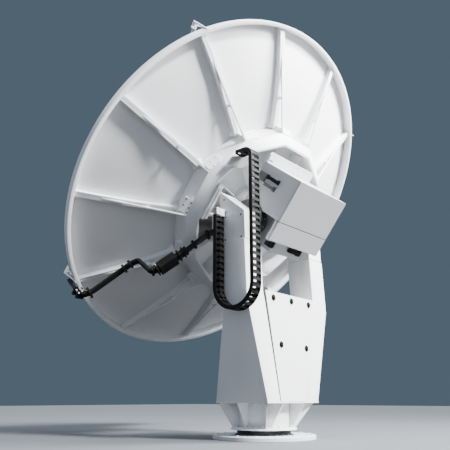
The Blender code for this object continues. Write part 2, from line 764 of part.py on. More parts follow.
def main():
    root = empty("ground", (0.0, 0.0, 0.0))
    azimuth = empty("azimuth_axis", (0.0, 0.0, 0.0))
    elevation = empty("elevation_axis", (0.0, AXIS_Y, AXIS_Z), (REST_ELEVATION, 0.0, 0.0))
    elevation.parent = azimuth
    make_base(root, azimuth)
    make_fork(azimuth)
    make_body(azimuth)
    make_chain(azimuth)
    make_reflector(elevation)
    make_rim(elevation)
    make_ribs(elevation)
    make_hub(elevation)
    make_receiver(elevation)
    make_box_fittings(elevation)
    make_waveguide(elevation)
    make_feed(elevation)


main()
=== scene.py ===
"""Dresses the weather radar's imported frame: fine surfaces, fastenings, the energy chain and the finishes.

Metres, +Z up, in the frame of the solids. The pieces that tilt are worked out in the tilting frame, where x
runs along the elevation axis, y along the beam and z square to both, and are then placed in the row frame.
"""

import logging
import math
from dataclasses import dataclass, field
from enum import Enum
from typing import Callable, Sequence

import bmesh
import bpy
import numpy as np
from mathutils import Matrix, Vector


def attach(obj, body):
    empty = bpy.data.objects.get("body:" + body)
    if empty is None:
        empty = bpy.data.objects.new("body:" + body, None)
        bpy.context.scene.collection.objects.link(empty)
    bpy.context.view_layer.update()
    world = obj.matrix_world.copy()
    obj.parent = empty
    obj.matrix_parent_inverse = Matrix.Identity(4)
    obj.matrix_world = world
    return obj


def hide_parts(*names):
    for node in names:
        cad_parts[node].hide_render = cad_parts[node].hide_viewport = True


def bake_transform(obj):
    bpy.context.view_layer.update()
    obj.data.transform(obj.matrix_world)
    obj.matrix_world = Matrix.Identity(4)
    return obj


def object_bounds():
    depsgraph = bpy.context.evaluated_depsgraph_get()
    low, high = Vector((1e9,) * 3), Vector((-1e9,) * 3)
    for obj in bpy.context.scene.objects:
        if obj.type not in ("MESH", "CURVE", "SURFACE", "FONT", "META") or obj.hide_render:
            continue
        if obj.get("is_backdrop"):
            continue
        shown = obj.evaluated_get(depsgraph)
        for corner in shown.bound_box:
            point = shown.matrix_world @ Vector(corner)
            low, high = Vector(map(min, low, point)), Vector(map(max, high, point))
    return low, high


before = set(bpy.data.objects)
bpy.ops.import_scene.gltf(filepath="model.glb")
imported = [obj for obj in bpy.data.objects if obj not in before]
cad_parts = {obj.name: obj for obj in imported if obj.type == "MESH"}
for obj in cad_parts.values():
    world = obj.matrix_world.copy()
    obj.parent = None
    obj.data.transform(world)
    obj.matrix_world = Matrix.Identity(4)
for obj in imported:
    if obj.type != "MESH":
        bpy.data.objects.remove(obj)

Array = np.ndarray
Measure = Array | float
Outline = Array | Sequence[tuple[float, float]]
log = logging.getLogger("weather_radar")


class Body(Enum):
    """The bodies that pieces ride on."""

    BASE = "base"
    PEDESTAL = "pedestal"
    ANTENNA = "antenna"


class Slot(Enum):
    """The material slots."""

    WHITE = "white_paint"
    GREY = "grey_paint"
    DARK = "dark_paint"
    PLASTIC = "black_plastic"
    STEEL = "steel"


# Surfaces


@dataclass(frozen=True)
class Shell:
    """A surface before it is a mesh: its points, and its faces in blocks of equal corner count."""

    points: Array
    faces: tuple[Array, ...]

    def placed(self, place: Callable[[Array], Array]) -> "Shell":
        """The same faces with every point carried through a placing function."""
        return Shell(place(self.points), self.faces)

    def shifted(self, step: Sequence[float]) -> "Shell":
        """The same surface moved by a step."""
        return Shell(self.points + np.asarray(step, float), self.faces)


def joined(shells: Sequence[Shell]) -> Shell:
    """Puts several surfaces in one.

    Args:
        shells: the surfaces, which keep their own points and faces.

    Returns:
        One surface, where each one's face numbers are raised by the points before it.
    """
    starts = np.cumsum([0, *[len(shell.points) for shell in shells[:-1]]])
    faces = tuple(block + start for shell, start in zip(shells, starts) for block in shell.faces)
    return Shell(np.concatenate([shell.points for shell in shells]), faces)


def loft(sections: Array, closed: bool = False, wrap: bool = True) -> Shell:
    """Skins a row of outlines: point j of outline i joins point j of outline i + 1.

    Args:
        sections: outlines as (rows, points, 3).
        closed: joins the last outline to the first, and otherwise caps both ends flat.
        wrap: joins the last point of each outline to its first.

    Returns:
        The skinned surface.
    """
    rows, columns = sections.shape[:2]
    firsts = np.arange(rows if closed else rows - 1), np.arange(columns if wrap else columns - 1)
    row, column = np.meshgrid(*firsts, indexing="ij")
    near, far = row * columns, (row + 1) % rows * columns
    after = (column + 1) % columns
    quads = np.stack([near + column, near + after, far + after, far + column], -1).reshape(-1, 4)
    ring = np.arange(columns)
    caps = () if closed else (ring[None, ::-1], ring[None] + (rows - 1) * columns)
    return Shell(sections.reshape(-1, 3), (quads, *caps))


def turned(profile: Outline, steps: int, start: float = 0.0) -> Shell:
    """Turns an outline of (radius, height) round y: x is radius times cosine, z is radius times sine.

    Args:
        profile: the outline's points. It is open where it starts and ends on the axis.
        steps: how many places the outline takes round the axis.
        start: angle of the first place.

    Returns:
        The closed surface of revolution.
    """
    angle = start + 2 * np.pi * np.arange(steps)[:, None] / steps
    radius, height = np.asarray(profile, float).T[:, None]
    on_axis = radius[0, 0] == 0 and radius[0, -1] == 0
    sections = np.stack([radius * np.cos(angle), height + 0 * angle, radius * np.sin(angle)], -1)
    return loft(sections, closed=True, wrap=not on_axis)


def upright(points: Array) -> Array:
    """Stands a surface that was turned round y up on z."""
    return np.stack([points[..., 0], -points[..., 2], points[..., 1]], -1)


def both_sides(shell: Shell) -> Shell:
    """A surface that was turned round y, laid along x at both sides of the middle."""
    x, y, z = shell.points[:, [1, 0, 2]].T
    return joined([Shell(np.stack([side * x, y, z], -1), shell.faces) for side in (-1, 1)])


def disc(inner: float, outer: float, low: float, high: float, chamfer: float, steps: int) -> Shell:
    """A flat ring with a chamfered rim on the vertical axis, or a full disc where its inner radius is 0.

    Args:
        inner: radius of the hole.
        outer: radius of the rim.
        low: height of the underside.
        high: height of the top.
        chamfer: width of the cut at the rim's edges.
        steps: how many places the outline takes round the axis.

    Returns:
        The ring.
    """
    edge = outer - chamfer
    rim = [(edge, low), (outer, low + chamfer), (outer, high - chamfer), (edge, high)]
    return turned([(inner, low), *rim, (inner, high)], steps).placed(upright)


def prism(outline: Outline, low: float, high: float, order: str = "yzx") -> Shell:
    """Carries a flat outline straight from one plane to another.

    Args:
        outline: the closed outline's points.
        low: place of the first plane.
        high: place of the second plane.
        order: which axes the outline's two numbers and the planes run along.

    Returns:
        The capped prism.
    """
    first, second = np.asarray(outline, float).T[:, None]
    ends = np.array([low, high])[:, None]
    parts = dict(zip(order, (first + 0 * ends, second + 0 * ends, ends + 0 * first)))
    return loft(np.stack([parts[axis] for axis in "xyz"], -1))


def boxes(*pairs: tuple[Sequence[float], Sequence[float]]) -> Shell:
    """Cuboids, each a rectangle carried from its low plane to its high one.

    Args:
        *pairs: the low and the high corner of each cuboid.

    Returns:
        All of them as one surface.
    """
    shells = []
    for (x0, y0, z0), (x1, y1, z1) in pairs:
        shells.append(prism([(x0, y0), (x1, y0), (x1, y1), (x0, y1)], z0, z1, "xyz"))
    return joined(shells)


def rounded(half_wide: float, half_high: float, radius: float, steps: int = 3) -> Array:
    """A rectangle with quarter-circle corners: each corner's centre plus radius times (cosine, sine).

    Args:
        half_wide: half of the first side.
        half_high: half of the second side.
        radius: corner radius.
        steps: stretches in each corner.

    Returns:
        The outline as (points, 2).
    """
    turn = np.linspace(0, np.pi / 2, steps + 1)
    quarter = np.arange(4)[:, None] * np.pi / 2
    signs = np.array([[1, 1], [-1, 1], [-1, -1], [1, -1]], float)
    centre = signs[:, None] * np.array([half_wide - radius, half_high - radius])
    arc = radius * np.stack([np.cos(quarter + turn), np.sin(quarter + turn)], -1)
    return (centre + arc).reshape(-1, 2)


def circle(radius: float, points: int) -> Array:
    """A circle as (points, 2): the radius times cosine and sine."""
    angle = 2 * np.pi * np.arange(points) / points
    return radius * np.stack([np.cos(angle), np.sin(angle)], -1)


def bent(route: Array, radius: float, steps: int = 6) -> Array:
    """Rounds the corners of a route: each corner gives way to a curve between two points before and after it.

    The curve is the parabola with weights (1 - t) squared, 2 t (1 - t) and t squared on the three points.

    Args:
        route: corner points as (points, 3).
        radius: how far before and after a corner the curve reaches, at most 0.45 of each stretch.
        steps: stretches in each curve.

    Returns:
        The rounded route as (points, 3).
    """
    stretch = np.diff(route, axis=0)
    length = np.linalg.norm(stretch, axis=1, keepdims=True)
    step = stretch / length * np.minimum(radius, 0.45 * length)
    corner = route[1:-1, None]
    before, beyond = corner - step[:-1, None], corner + step[1:, None]
    t = np.linspace(0, 1, steps + 1)[None, :, None]
    curve = (1 - t) ** 2 * before + 2 * t * (1 - t) * corner + t**2 * beyond
    return np.concatenate([route[:1], curve.reshape(-1, 3), route[-1:]])


def unit(vectors: Array) -> Array:
    """Vectors along the last axis, each at length 1."""
    return vectors / np.linalg.norm(vectors, axis=-1, keepdims=True)


def headings(route: Array) -> Array:
    """Unit directions along a route, at each point the mean of the stretches that meet there."""
    stretch = unit(np.diff(route, axis=0))
    return unit(np.concatenate([stretch[:1], stretch[:-1] + stretch[1:], stretch[-1:]]))


def squared(heading: Array, towards: Sequence[float]) -> tuple[Array, Array]:
    """Two directions square to each heading, the first as near as it can be to a given one.

    Args:
        heading: unit headings as (points, 3).
        towards: the direction that the first one leans to.

    Returns:
        The first and the second direction, each as (points, 3).
    """
    towards = np.asarray(towards, float)
    first = unit(towards - heading * (heading @ towards)[:, None])
    return first, np.cross(heading, first)


def carried(outline: Array, route: Array, towards: Sequence[float]) -> Shell:
    """Carries an outline along a route.

    A point is the place plus its first number times one side direction and its second times the other.

    Args:
        outline: the closed outline as (points, 2).
        route: the middle line as (points, 3).
        towards: direction that the outline's first axis leans to.

    Returns:
        The capped tube.
    """
    first, second = squared(headings(route), towards)
    aside = outline[None, :, :1] * first[:, None] + outline[None, :, 1:] * second[:, None]
    return loft(route[:, None] + aside)


def route_length(route: Array) -> Array:
    """Length of a route up to each of its points."""
    return np.concatenate([[0], np.cumsum(np.linalg.norm(np.diff(route, axis=0), axis=1))])


def frames_along(route: Array, shares: Sequence[float], towards: Sequence[float]) -> tuple[Array, Array]:
    """Places along a route and the directions there.

    Args:
        route: the middle line as (points, 3).
        shares: where the places are, from 0 to 1 of its length.
        towards: direction that the first side direction leans to.

    Returns:
        Places as (shares, 3), and for each one the two side directions and the heading.
    """
    length = route_length(route)
    at = np.asarray(shares) * length[-1]
    lines = (route, headings(route))
    spots, along = (np.stack([np.interp(at, length, line[:, k]) for k in range(3)], -1) for line in lines)
    along = unit(along)
    return spots, np.stack([*squared(along, towards), along], 1)


def turned_frames(facing: Array) -> Array:
    """Three directions for each facing one: two square to it and the facing one itself.

    Args:
        facing: directions as (points, 3), of any length.

    Returns:
        The directions as (points, 3, 3).
    """
    ahead = unit(facing)
    helper = np.where(np.abs(ahead[:, 2:3]) > 0.9, [[1.0, 0.0, 0.0]], [[0.0, 0.0, 1.0]])
    side = unit(np.cross(helper, ahead))
    return np.stack([side, np.cross(ahead, side), ahead], 1)


def repeated(shape: Shell, spots: Array, frames: Array) -> Shell:
    """Sets one shape at many spots: each spot plus the shape's points times that spot's three directions.

    Args:
        shape: the shape round its own origin.
        spots: places as (copies, 3).
        frames: directions of the shape's x, y and z at each place, as (copies, 3, 3).

    Returns:
        All the copies as one surface.
    """
    points = spots[:, None] + shape.points[None] @ frames
    lift = len(shape.points) * np.arange(len(spots))[:, None, None]
    faces = tuple((f[None] + lift).reshape(-1, f.shape[1]) for f in shape.faces)
    return Shell(points.reshape(-1, 3), faces)


def bolt(radius: float, height: float) -> Shell:
    """A six-sided head on a round washer, as twelve-point rings.

    The head's rings have the radius times the cosine of 30 degrees over that of the angle from each flat.

    Args:
        radius: half of the head across its corners.
        height: head and washer together.

    Returns:
        The head, standing along z.
    """
    angle = 2 * np.pi * np.arange(12) / 12
    flats = np.cos(np.pi / 6) / np.cos((angle % (np.pi / 3)) - np.pi / 6)
    rings = (1.65, 0, False), (1.65, 0.22, False), (1, 0.22, True), (1, 0.85, True), (0.82, 1, False)
    sections = []
    for reach, rise, is_hexagon in rings:
        ring = reach * radius * (flats if is_hexagon else np.ones(12))
        sections.append(np.stack([ring * np.cos(angle), ring * np.sin(angle), 0 * angle + rise * height], -1))
    return loft(np.stack(sections))


def bolts(spots: Array, facing: Array | Sequence[float], radius: float, height: float) -> Shell:
    """Bolt heads at several spots.

    Args:
        spots: places as (bolts, 3).
        facing: the direction that each one stands along, or one for all.
        radius: half of the head across its corners.
        height: head and washer together.

    Returns:
        All the heads as one surface.
    """
    spots = np.asarray(spots, float)
    facing = np.broadcast_to(np.asarray(facing, float), spots.shape)
    return repeated(bolt(radius, height), spots, turned_frames(facing))


def circle_spots(count: int, radius: float, height: float, start: float = 0.0) -> Array:
    """Places evenly spaced round the vertical axis at one height, as (count, 3)."""
    angle = start + 2 * np.pi * np.arange(count) / count
    return np.stack([radius * np.cos(angle), radius * np.sin(angle), height + 0 * angle], -1)


# Finishes


@dataclass
class Wiring:
    """Adds and joins nodes of one tree."""

    tree: bpy.types.NodeTree

    def set(self, socket: bpy.types.NodeSocket, value: object) -> None:
        """Joins a socket to another one, or gives it a value."""
        if isinstance(value, bpy.types.NodeSocket):
            self.tree.links.new(value, socket)
        else:
            socket.default_value = value

    def add(self, kind: str, settings: dict[str, object] | None = None, **values: object) -> bpy.types.Node:
        """Adds a node.

        Args:
            kind: the node's type.
            settings: its own properties by name.
            **values: socket values or sockets to join, by socket name, or by _ and its number.

        Returns:
            The node.
        """
        node = self.tree.nodes.new(kind)
        for key, value in (settings or {}).items():
            setattr(node, key, value)
        for key, value in values.items():
            label = key.replace("_", " ").strip()
            self.set(node.inputs[int(label)] if label.isdigit() else node.inputs[label], value)
        return node

    def maths(self, operation: str, first: object, second: object = 0.0) -> bpy.types.NodeSocket:
        """One step of arithmetic."""
        return self.add("ShaderNodeMath", {"operation": operation}, _0=first, _1=second).outputs[0]

    def noise(self, vector: object, scale: object, detail: float = 3.0) -> bpy.types.NodeSocket:
        """The value of a noise texture."""
        return self.add("ShaderNodeTexNoise", None, Vector=vector, Scale=scale, Detail=detail).outputs["Fac"]

    def between(self, value: object, low: float, high: float) -> bpy.types.NodeSocket:
        """Maps a value from low..high to 0..1, smoothly and clamped."""
        settings = {"interpolation_type": "SMOOTHSTEP"}
        made = self.add("ShaderNodeMapRange", settings, Value=value, From_Min=low, From_Max=high)
        return made.outputs["Result"]

    def mixed(self, share: object, first: object, second: object) -> bpy.types.NodeSocket:
        """A colour between two others."""
        return self.add("ShaderNodeMix", {"data_type": "RGBA"}, _0=share, _6=first, _7=second).outputs[2]


def grouped(name: str, inputs: dict[str, object]) -> tuple[Wiring, bpy.types.NodeInputs]:
    """Starts a shader node group that puts out a colour, a roughness and a height.

    Args:
        name: the group's name.
        inputs: starting values by name: a number, a colour as a tuple, or None for a vector.

    Returns:
        The wiring of the group, and what its input node gives.
    """
    group = bpy.data.node_groups.new(name, "ShaderNodeTree")
    kinds = {type(None): "NodeSocketVector", float: "NodeSocketFloat", tuple: "NodeSocketColor"}
    for label, value in inputs.items():
        made = group.interface.new_socket(name=label, in_out="INPUT", socket_type=kinds[type(value)])
        if value is not None:
            made.default_value = value
    for label, kind in (("Colour", "Color"), ("Roughness", "Float"), ("Height", "Float")):
        group.interface.new_socket(name=label, in_out="OUTPUT", socket_type=f"NodeSocket{kind}")
    return Wiring(group), group.nodes.new("NodeGroupInput").outputs


def weather_group() -> bpy.types.NodeTree:
    """Group that soils a paint: faint patches, streaks down walls, dust on what faces up, a fine peel."""
    wire, given = grouped("weathered_paint", {
        "Vector": None, "Facing": None, "Colour": (0.8, 0.8, 0.8, 1.0), "Soil": (0.3, 0.29, 0.27, 1.0),
        "Soiling": 0.1, "Gloss": 0.35,
    })
    place = given["Vector"]
    patches = wire.between(wire.noise(place, 1.7, 5.0), 0.42, 0.78)
    stretched = wire.add("ShaderNodeMapping", None, Vector=place, Scale=(16.0, 16.0, 0.9)).outputs[0]
    streaks = wire.between(wire.noise(stretched, 1.0, 4.0), 0.55, 0.82)
    up = wire.add("ShaderNodeSeparateXYZ", None, Vector=given["Facing"]).outputs["Z"]
    dust = wire.maths("MULTIPLY", wire.between(up, 0.35, 1.0), wire.between(wire.noise(place, 9.0), 0.3, 0.7))
    wall = wire.maths("SUBTRACT", 1.0, wire.maths("ABSOLUTE", up))
    streaked = wire.maths("MULTIPLY", streaks, wall)
    total = wire.maths("ADD", wire.maths("ADD", patches, streaked), wire.maths("MULTIPLY", dust, 1.5))
    share = wire.maths("MINIMUM", wire.maths("MULTIPLY", total, given["Soiling"]), 0.85)
    speckle = wire.between(wire.noise(place, 60.0, 2.0), 0.2, 0.8)
    rough = wire.maths("ADD", given["Gloss"], wire.maths("MULTIPLY", speckle, 0.10))
    rough = wire.maths("ADD", rough, wire.maths("MULTIPLY", share, 0.35))
    waves = wire.maths("MULTIPLY", wire.noise(place, 7.0), 0.6)
    peel = wire.maths("ADD", wire.noise(place, 320.0, 2.0), waves)
    colour = wire.mixed(share, given["Colour"], given["Soil"])
    wire.add("NodeGroupOutput", None, Colour=colour, Roughness=rough, Height=peel)
    return wire.tree


def grain_group() -> bpy.types.NodeTree:
    """Group for a fine grain: a colour value and a height, from two noises at a scale and its triple."""
    wire, given = grouped("fine_grain", {
        "Vector": None, "Scale": 80.0, "Dark": (0.01, 0.01, 0.01, 1.0), "Light": (0.04, 0.04, 0.04, 1.0),
        "Smooth": 0.35, "Coarse": 0.6,
    })
    wide = wire.noise(given["Vector"], given["Scale"], 3.0)
    fine = wire.noise(given["Vector"], wire.maths("MULTIPLY", given["Scale"], 3.0), 2.0)
    smudge = wire.between(wire.noise(given["Vector"], 6.0, 4.0), 0.35, 0.75)
    span = wire.maths("SUBTRACT", given["Coarse"], given["Smooth"])
    rough = wire.maths("ADD", given["Smooth"], wire.maths("MULTIPLY", smudge, span))
    share = wire.maths("MULTIPLY", wire.maths("ADD", smudge, wire.between(wide, 0.3, 0.7)), 0.5)
    colour = wire.mixed(share, given["Dark"], given["Light"])
    wire.add("NodeGroupOutput", None, Colour=colour, Roughness=rough, Height=wire.maths("ADD", wide, fine))
    return wire.tree


WEATHER = weather_group()
GRAIN = grain_group()


def opaque(*colour: float) -> tuple[float, ...]:
    """A colour with full cover."""
    return (*colour, 1.0)


def blank_material(name: str, **values: float) -> tuple[bpy.types.Material, Wiring, bpy.types.Node]:
    """A material with its wiring and its shader, whose own sockets take the given values."""
    made = bpy.data.materials.new(name)
    made.use_nodes = True
    shader = made.node_tree.nodes["Principled BSDF"]
    for label, value in values.items():
        shader.inputs[label.replace("_", " ")].default_value = value
    return made, Wiring(made.node_tree), shader


def coated(
    parts: tuple[bpy.types.Material, Wiring, bpy.types.Node],
    group: bpy.types.NodeTree,
    relief: float,
    strength: float,
    **values: object,
) -> bpy.types.Material:
    """Lets a group colour a material, roughen it and raise its bumps.

    Args:
        parts: the material with its wiring and its shader.
        group: the group.
        relief: how high a bump is.
        strength: how strongly the bumps show.
        **values: the group's own values, by input.

    Returns:
        The finished material.
    """
    made, wire, shader = parts
    place = wire.add("ShaderNodeTexCoord").outputs
    facing = {"Facing": place["Normal"]} if group is WEATHER else {}
    values = {"Vector": place["Object"], **facing, **values}
    coat = wire.add("ShaderNodeGroup", {"node_tree": group}, **values).outputs
    bump = wire.add("ShaderNodeBump", None, Height=coat["Height"], Distance=relief, Strength=strength)
    wire.set(shader.inputs["Base Color"], coat["Colour"])
    wire.set(shader.inputs["Roughness"], coat["Roughness"])
    wire.set(shader.inputs["Normal"], bump.outputs[0])
    return made


@dataclass(frozen=True)
class Paint:
    """A sprayed coat with its own soiling."""

    name: str
    colour: tuple[float, float, float]
    slot: Slot = Slot.WHITE
    soiling: float = 0.08
    gloss: float = 0.34
    peel: float = 0.0004
    soil: tuple[float, float, float] = (0.30, 0.29, 0.26)

    def material(self) -> bpy.types.Material:
        """Builds the paint's material from the weathering group."""
        colours = {"Colour": opaque(*self.colour), "Soil": opaque(*self.soil)}
        parts = blank_material(self.name, Metallic=0.0)
        return coated(parts, WEATHER, self.peel, 0.6, Soiling=self.soiling, Gloss=self.gloss, **colours)


@dataclass(frozen=True)
class Grained:
    """A moulded, cast or plated surface with a fine grain."""

    name: str
    dark: tuple[float, float, float]
    light: tuple[float, float, float]
    slot: Slot = Slot.PLASTIC
    metallic: float = 0.0
    smooth: float = 0.35
    coarse: float = 0.6
    scale: float = 80.0
    relief: float = 0.0004
    shine: float = 0.5

    def material(self) -> bpy.types.Material:
        """Builds the material from the grain group."""
        colours = {"Dark": opaque(*self.dark), "Light": opaque(*self.light)}
        parts = blank_material(self.name, Metallic=self.metallic, Specular_IOR_Level=self.shine)
        spread = {"Scale": self.scale, "Smooth": self.smooth, "Coarse": self.coarse}
        return coated(parts, GRAIN, self.relief, 0.5, **spread, **colours)


def even(shade: float) -> tuple[float, float, float]:
    """A neutral colour of one shade."""
    return (shade, shade, shade)


@dataclass
class Finishes:
    """Every finish of the radar, each built once."""

    white: Paint = Paint("white_gloss_paint", (0.80, 0.81, 0.82))
    dish_white: Paint = Paint("reflector_white_paint", (0.82, 0.83, 0.84), Slot.WHITE, 0.05, 0.40, 0.0003)
    column_white: Paint = Paint("pedestal_white_paint", (0.78, 0.79, 0.80), soiling=0.10)
    grey: Paint = Paint("cabinet_grey_paint", (0.52, 0.53, 0.545), Slot.GREY, 0.06, 0.42)
    base_grey: Paint = Paint("base_grey_paint", (0.62, 0.64, 0.66), Slot.GREY, 0.16, 0.45)
    dark: Paint = Paint(
        "dark_grey_paint", (0.085, 0.088, 0.094), Slot.DARK, 0.15, 0.45, soil=(0.12, 0.11, 0.10)
    )
    # Latch grey; it also colours the painted shade plate inside the hub ring.
    fitting: Paint = Paint("latch_grey_paint", (0.13, 0.133, 0.14), Slot.GREY, 0.10, 0.45)
    plastic: Grained = Grained(
        "black_moulded_plastic", even(0.0025), even(0.006), smooth=0.6, coarse=0.8, shine=0.2
    )
    guide: Grained = Grained(
        "black_guide_coating", even(0.003), even(0.007), smooth=0.45, coarse=0.65, shine=0.25
    )
    cable: Grained = Grained("dark_cable_sheath", even(0.006), even(0.012), smooth=0.5, shine=0.3)
    steel: Grained = Grained(
        "zinc_plated_steel", (0.42, 0.43, 0.45), (0.60, 0.61, 0.63), Slot.STEEL, 0.85, 0.28, 0.45
    )
    screw: Grained = Grained(
        "dark_screw_steel", (0.06, 0.06, 0.065), (0.12, 0.12, 0.125), Slot.STEEL, 0.7, 0.35, 0.55
    )
    gear: Grained = Grained(
        "oiled_gear_steel", (0.035, 0.035, 0.038), (0.09, 0.09, 0.095), Slot.STEEL, 0.8, 0.3, 0.5
    )
    # Painted shade: a near-black finish for the dark blocks set in joints, gaps and the mount plate's slot,
    # where there is only shade.
    shadow: Grained = Grained("painted_shade_black", even(0.012), even(0.02), Slot.DARK, smooth=0.7, coarse=0.9)
    built: dict[str, bpy.types.Material] = field(default_factory=dict)

    def of(self, name: str) -> bpy.types.Material:
        """The material of a named finish, built on its first use."""
        if name not in self.built:
            self.built[name] = getattr(self, name).material()
        return self.built[name]


FINISHES = Finishes()


# The groups of pieces

WELD = 1e-6
BEVEL_ANGLE = math.radians(32)


@dataclass
class SubAssembly:
    """A group of pieces on one body, with what every group needs to make and dress them."""

    body: Body

    def piece(
        self,
        name: str,
        shell: Shell,
        finish: str,
        replaces: str = "",
        slot: Slot | None = None,
        bevel: float = 0.0,
        smooth: float = 32.0,
        rides: bool = True,
    ) -> bpy.types.Object:
        """Makes a mesh of a surface, closes its poles, turns its faces outwards, dresses it and hangs it up.

        Args:
            name: the piece's name.
            shell: its surface in the row frame.
            finish: which of the finishes it wears.
            replaces: the solids it stands for, with spaces between their names.
            slot: the slot it stands for, where that isn't its finish's own; it is worked out but not used.
            bevel: width of rounded edges, or 0.
            smooth: edges flatter than this angle are shaded smooth.
            rides: whether it rides on the body at once.

        Returns:
            The finished object.
        """
        mesh = bpy.data.meshes.new(name)
        faces = [face for alike in shell.faces for face in alike.tolist()]
        mesh.from_pydata(shell.points.tolist(), [], faces)
        edit = bmesh.new()
        edit.from_mesh(mesh)
        bmesh.ops.remove_doubles(edit, verts=edit.verts, dist=WELD)
        bmesh.ops.recalc_face_normals(edit, faces=edit.faces)
        edit.to_mesh(mesh)
        edit.free()
        mesh.shade_smooth()
        mesh.set_sharp_from_angle(angle=math.radians(smooth))
        made = bpy.data.objects.new(name, mesh)
        bpy.context.scene.collection.objects.link(made)
        mesh.materials.append(FINISHES.of(finish))
        if bevel:
            edge = made.modifiers.new("edges", "BEVEL")
            edge.width = bevel
            edge.segments = 2
            edge.limit_method = "ANGLE"
            edge.angle_limit = BEVEL_ANGLE
            edge.harden_normals = True
        if rides:
            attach(made, self.body.value)
        if replaces:
            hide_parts(*replaces.split())
        slot = slot or getattr(FINISHES, finish).slot
        log.info("%s: %d faces on %s", name, len(mesh.polygons), self.body.value)
        return made

    def dress(self, finish: str, *nodes: str) -> None:
        """Gives carried-over solids a finish."""
        for node in nodes:
            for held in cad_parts[node].material_slots:
                held.material = FINISHES.of(finish)


@dataclass(frozen=True)
class TiltFrame:
    """The frame of the antenna: its origin on the elevation axis, y along the beam at rest."""

    axis_y: float = -0.177
    axis_z: float = 2.412
    elevation: float = math.radians(38.65)
    axis_to_rim: float = 0.886

    def place(self, points: Array) -> Array:
        """Tilting-frame points in the row frame: y and z turn by the elevation round x."""
        c, s = math.cos(self.elevation), math.sin(self.elevation)
        axes = np.array([[1.0, 0.0, 0.0], [0.0, c, s], [0.0, -s, c]])
        return np.array([0.0, self.axis_y, self.axis_z]) + points @ axes


TILT = TiltFrame()


def polar(radius: Measure, angle: Measure, depth: Measure, aside: Measure = 0.0) -> Array:
    """Points of the tilting frame from dish measures.

    Outwards is (cosine, 0, sine) of the angle, and a step aside runs along (-sine, 0, cosine).

    Args:
        radius: distance from the beam's line.
        angle: angle round the beam from the x axis.
        depth: distance behind the rim plane.
        aside: step square to the radius.

    Returns:
        The points, with a last axis of three.
    """
    x = radius * np.cos(angle) - aside * np.sin(angle)
    z = radius * np.sin(angle) + aside * np.cos(angle)
    y = TILT.axis_to_rim - np.asarray(depth, float)
    return np.stack(np.broadcast_arrays(x, y, z), -1).astype(float)


@dataclass
class Tilting(SubAssembly):
    """A group on the antenna, whose pieces are given in the tilting frame."""

    body: Body = Body.ANTENNA

    def piece(self, name: str, shell: Shell, *rest: object, **more: object) -> bpy.types.Object:
        """Makes a piece whose surface is given in the tilting frame."""
        return super().piece(name, shell.placed(TILT.place), *rest, **more)


# The tilting antenna


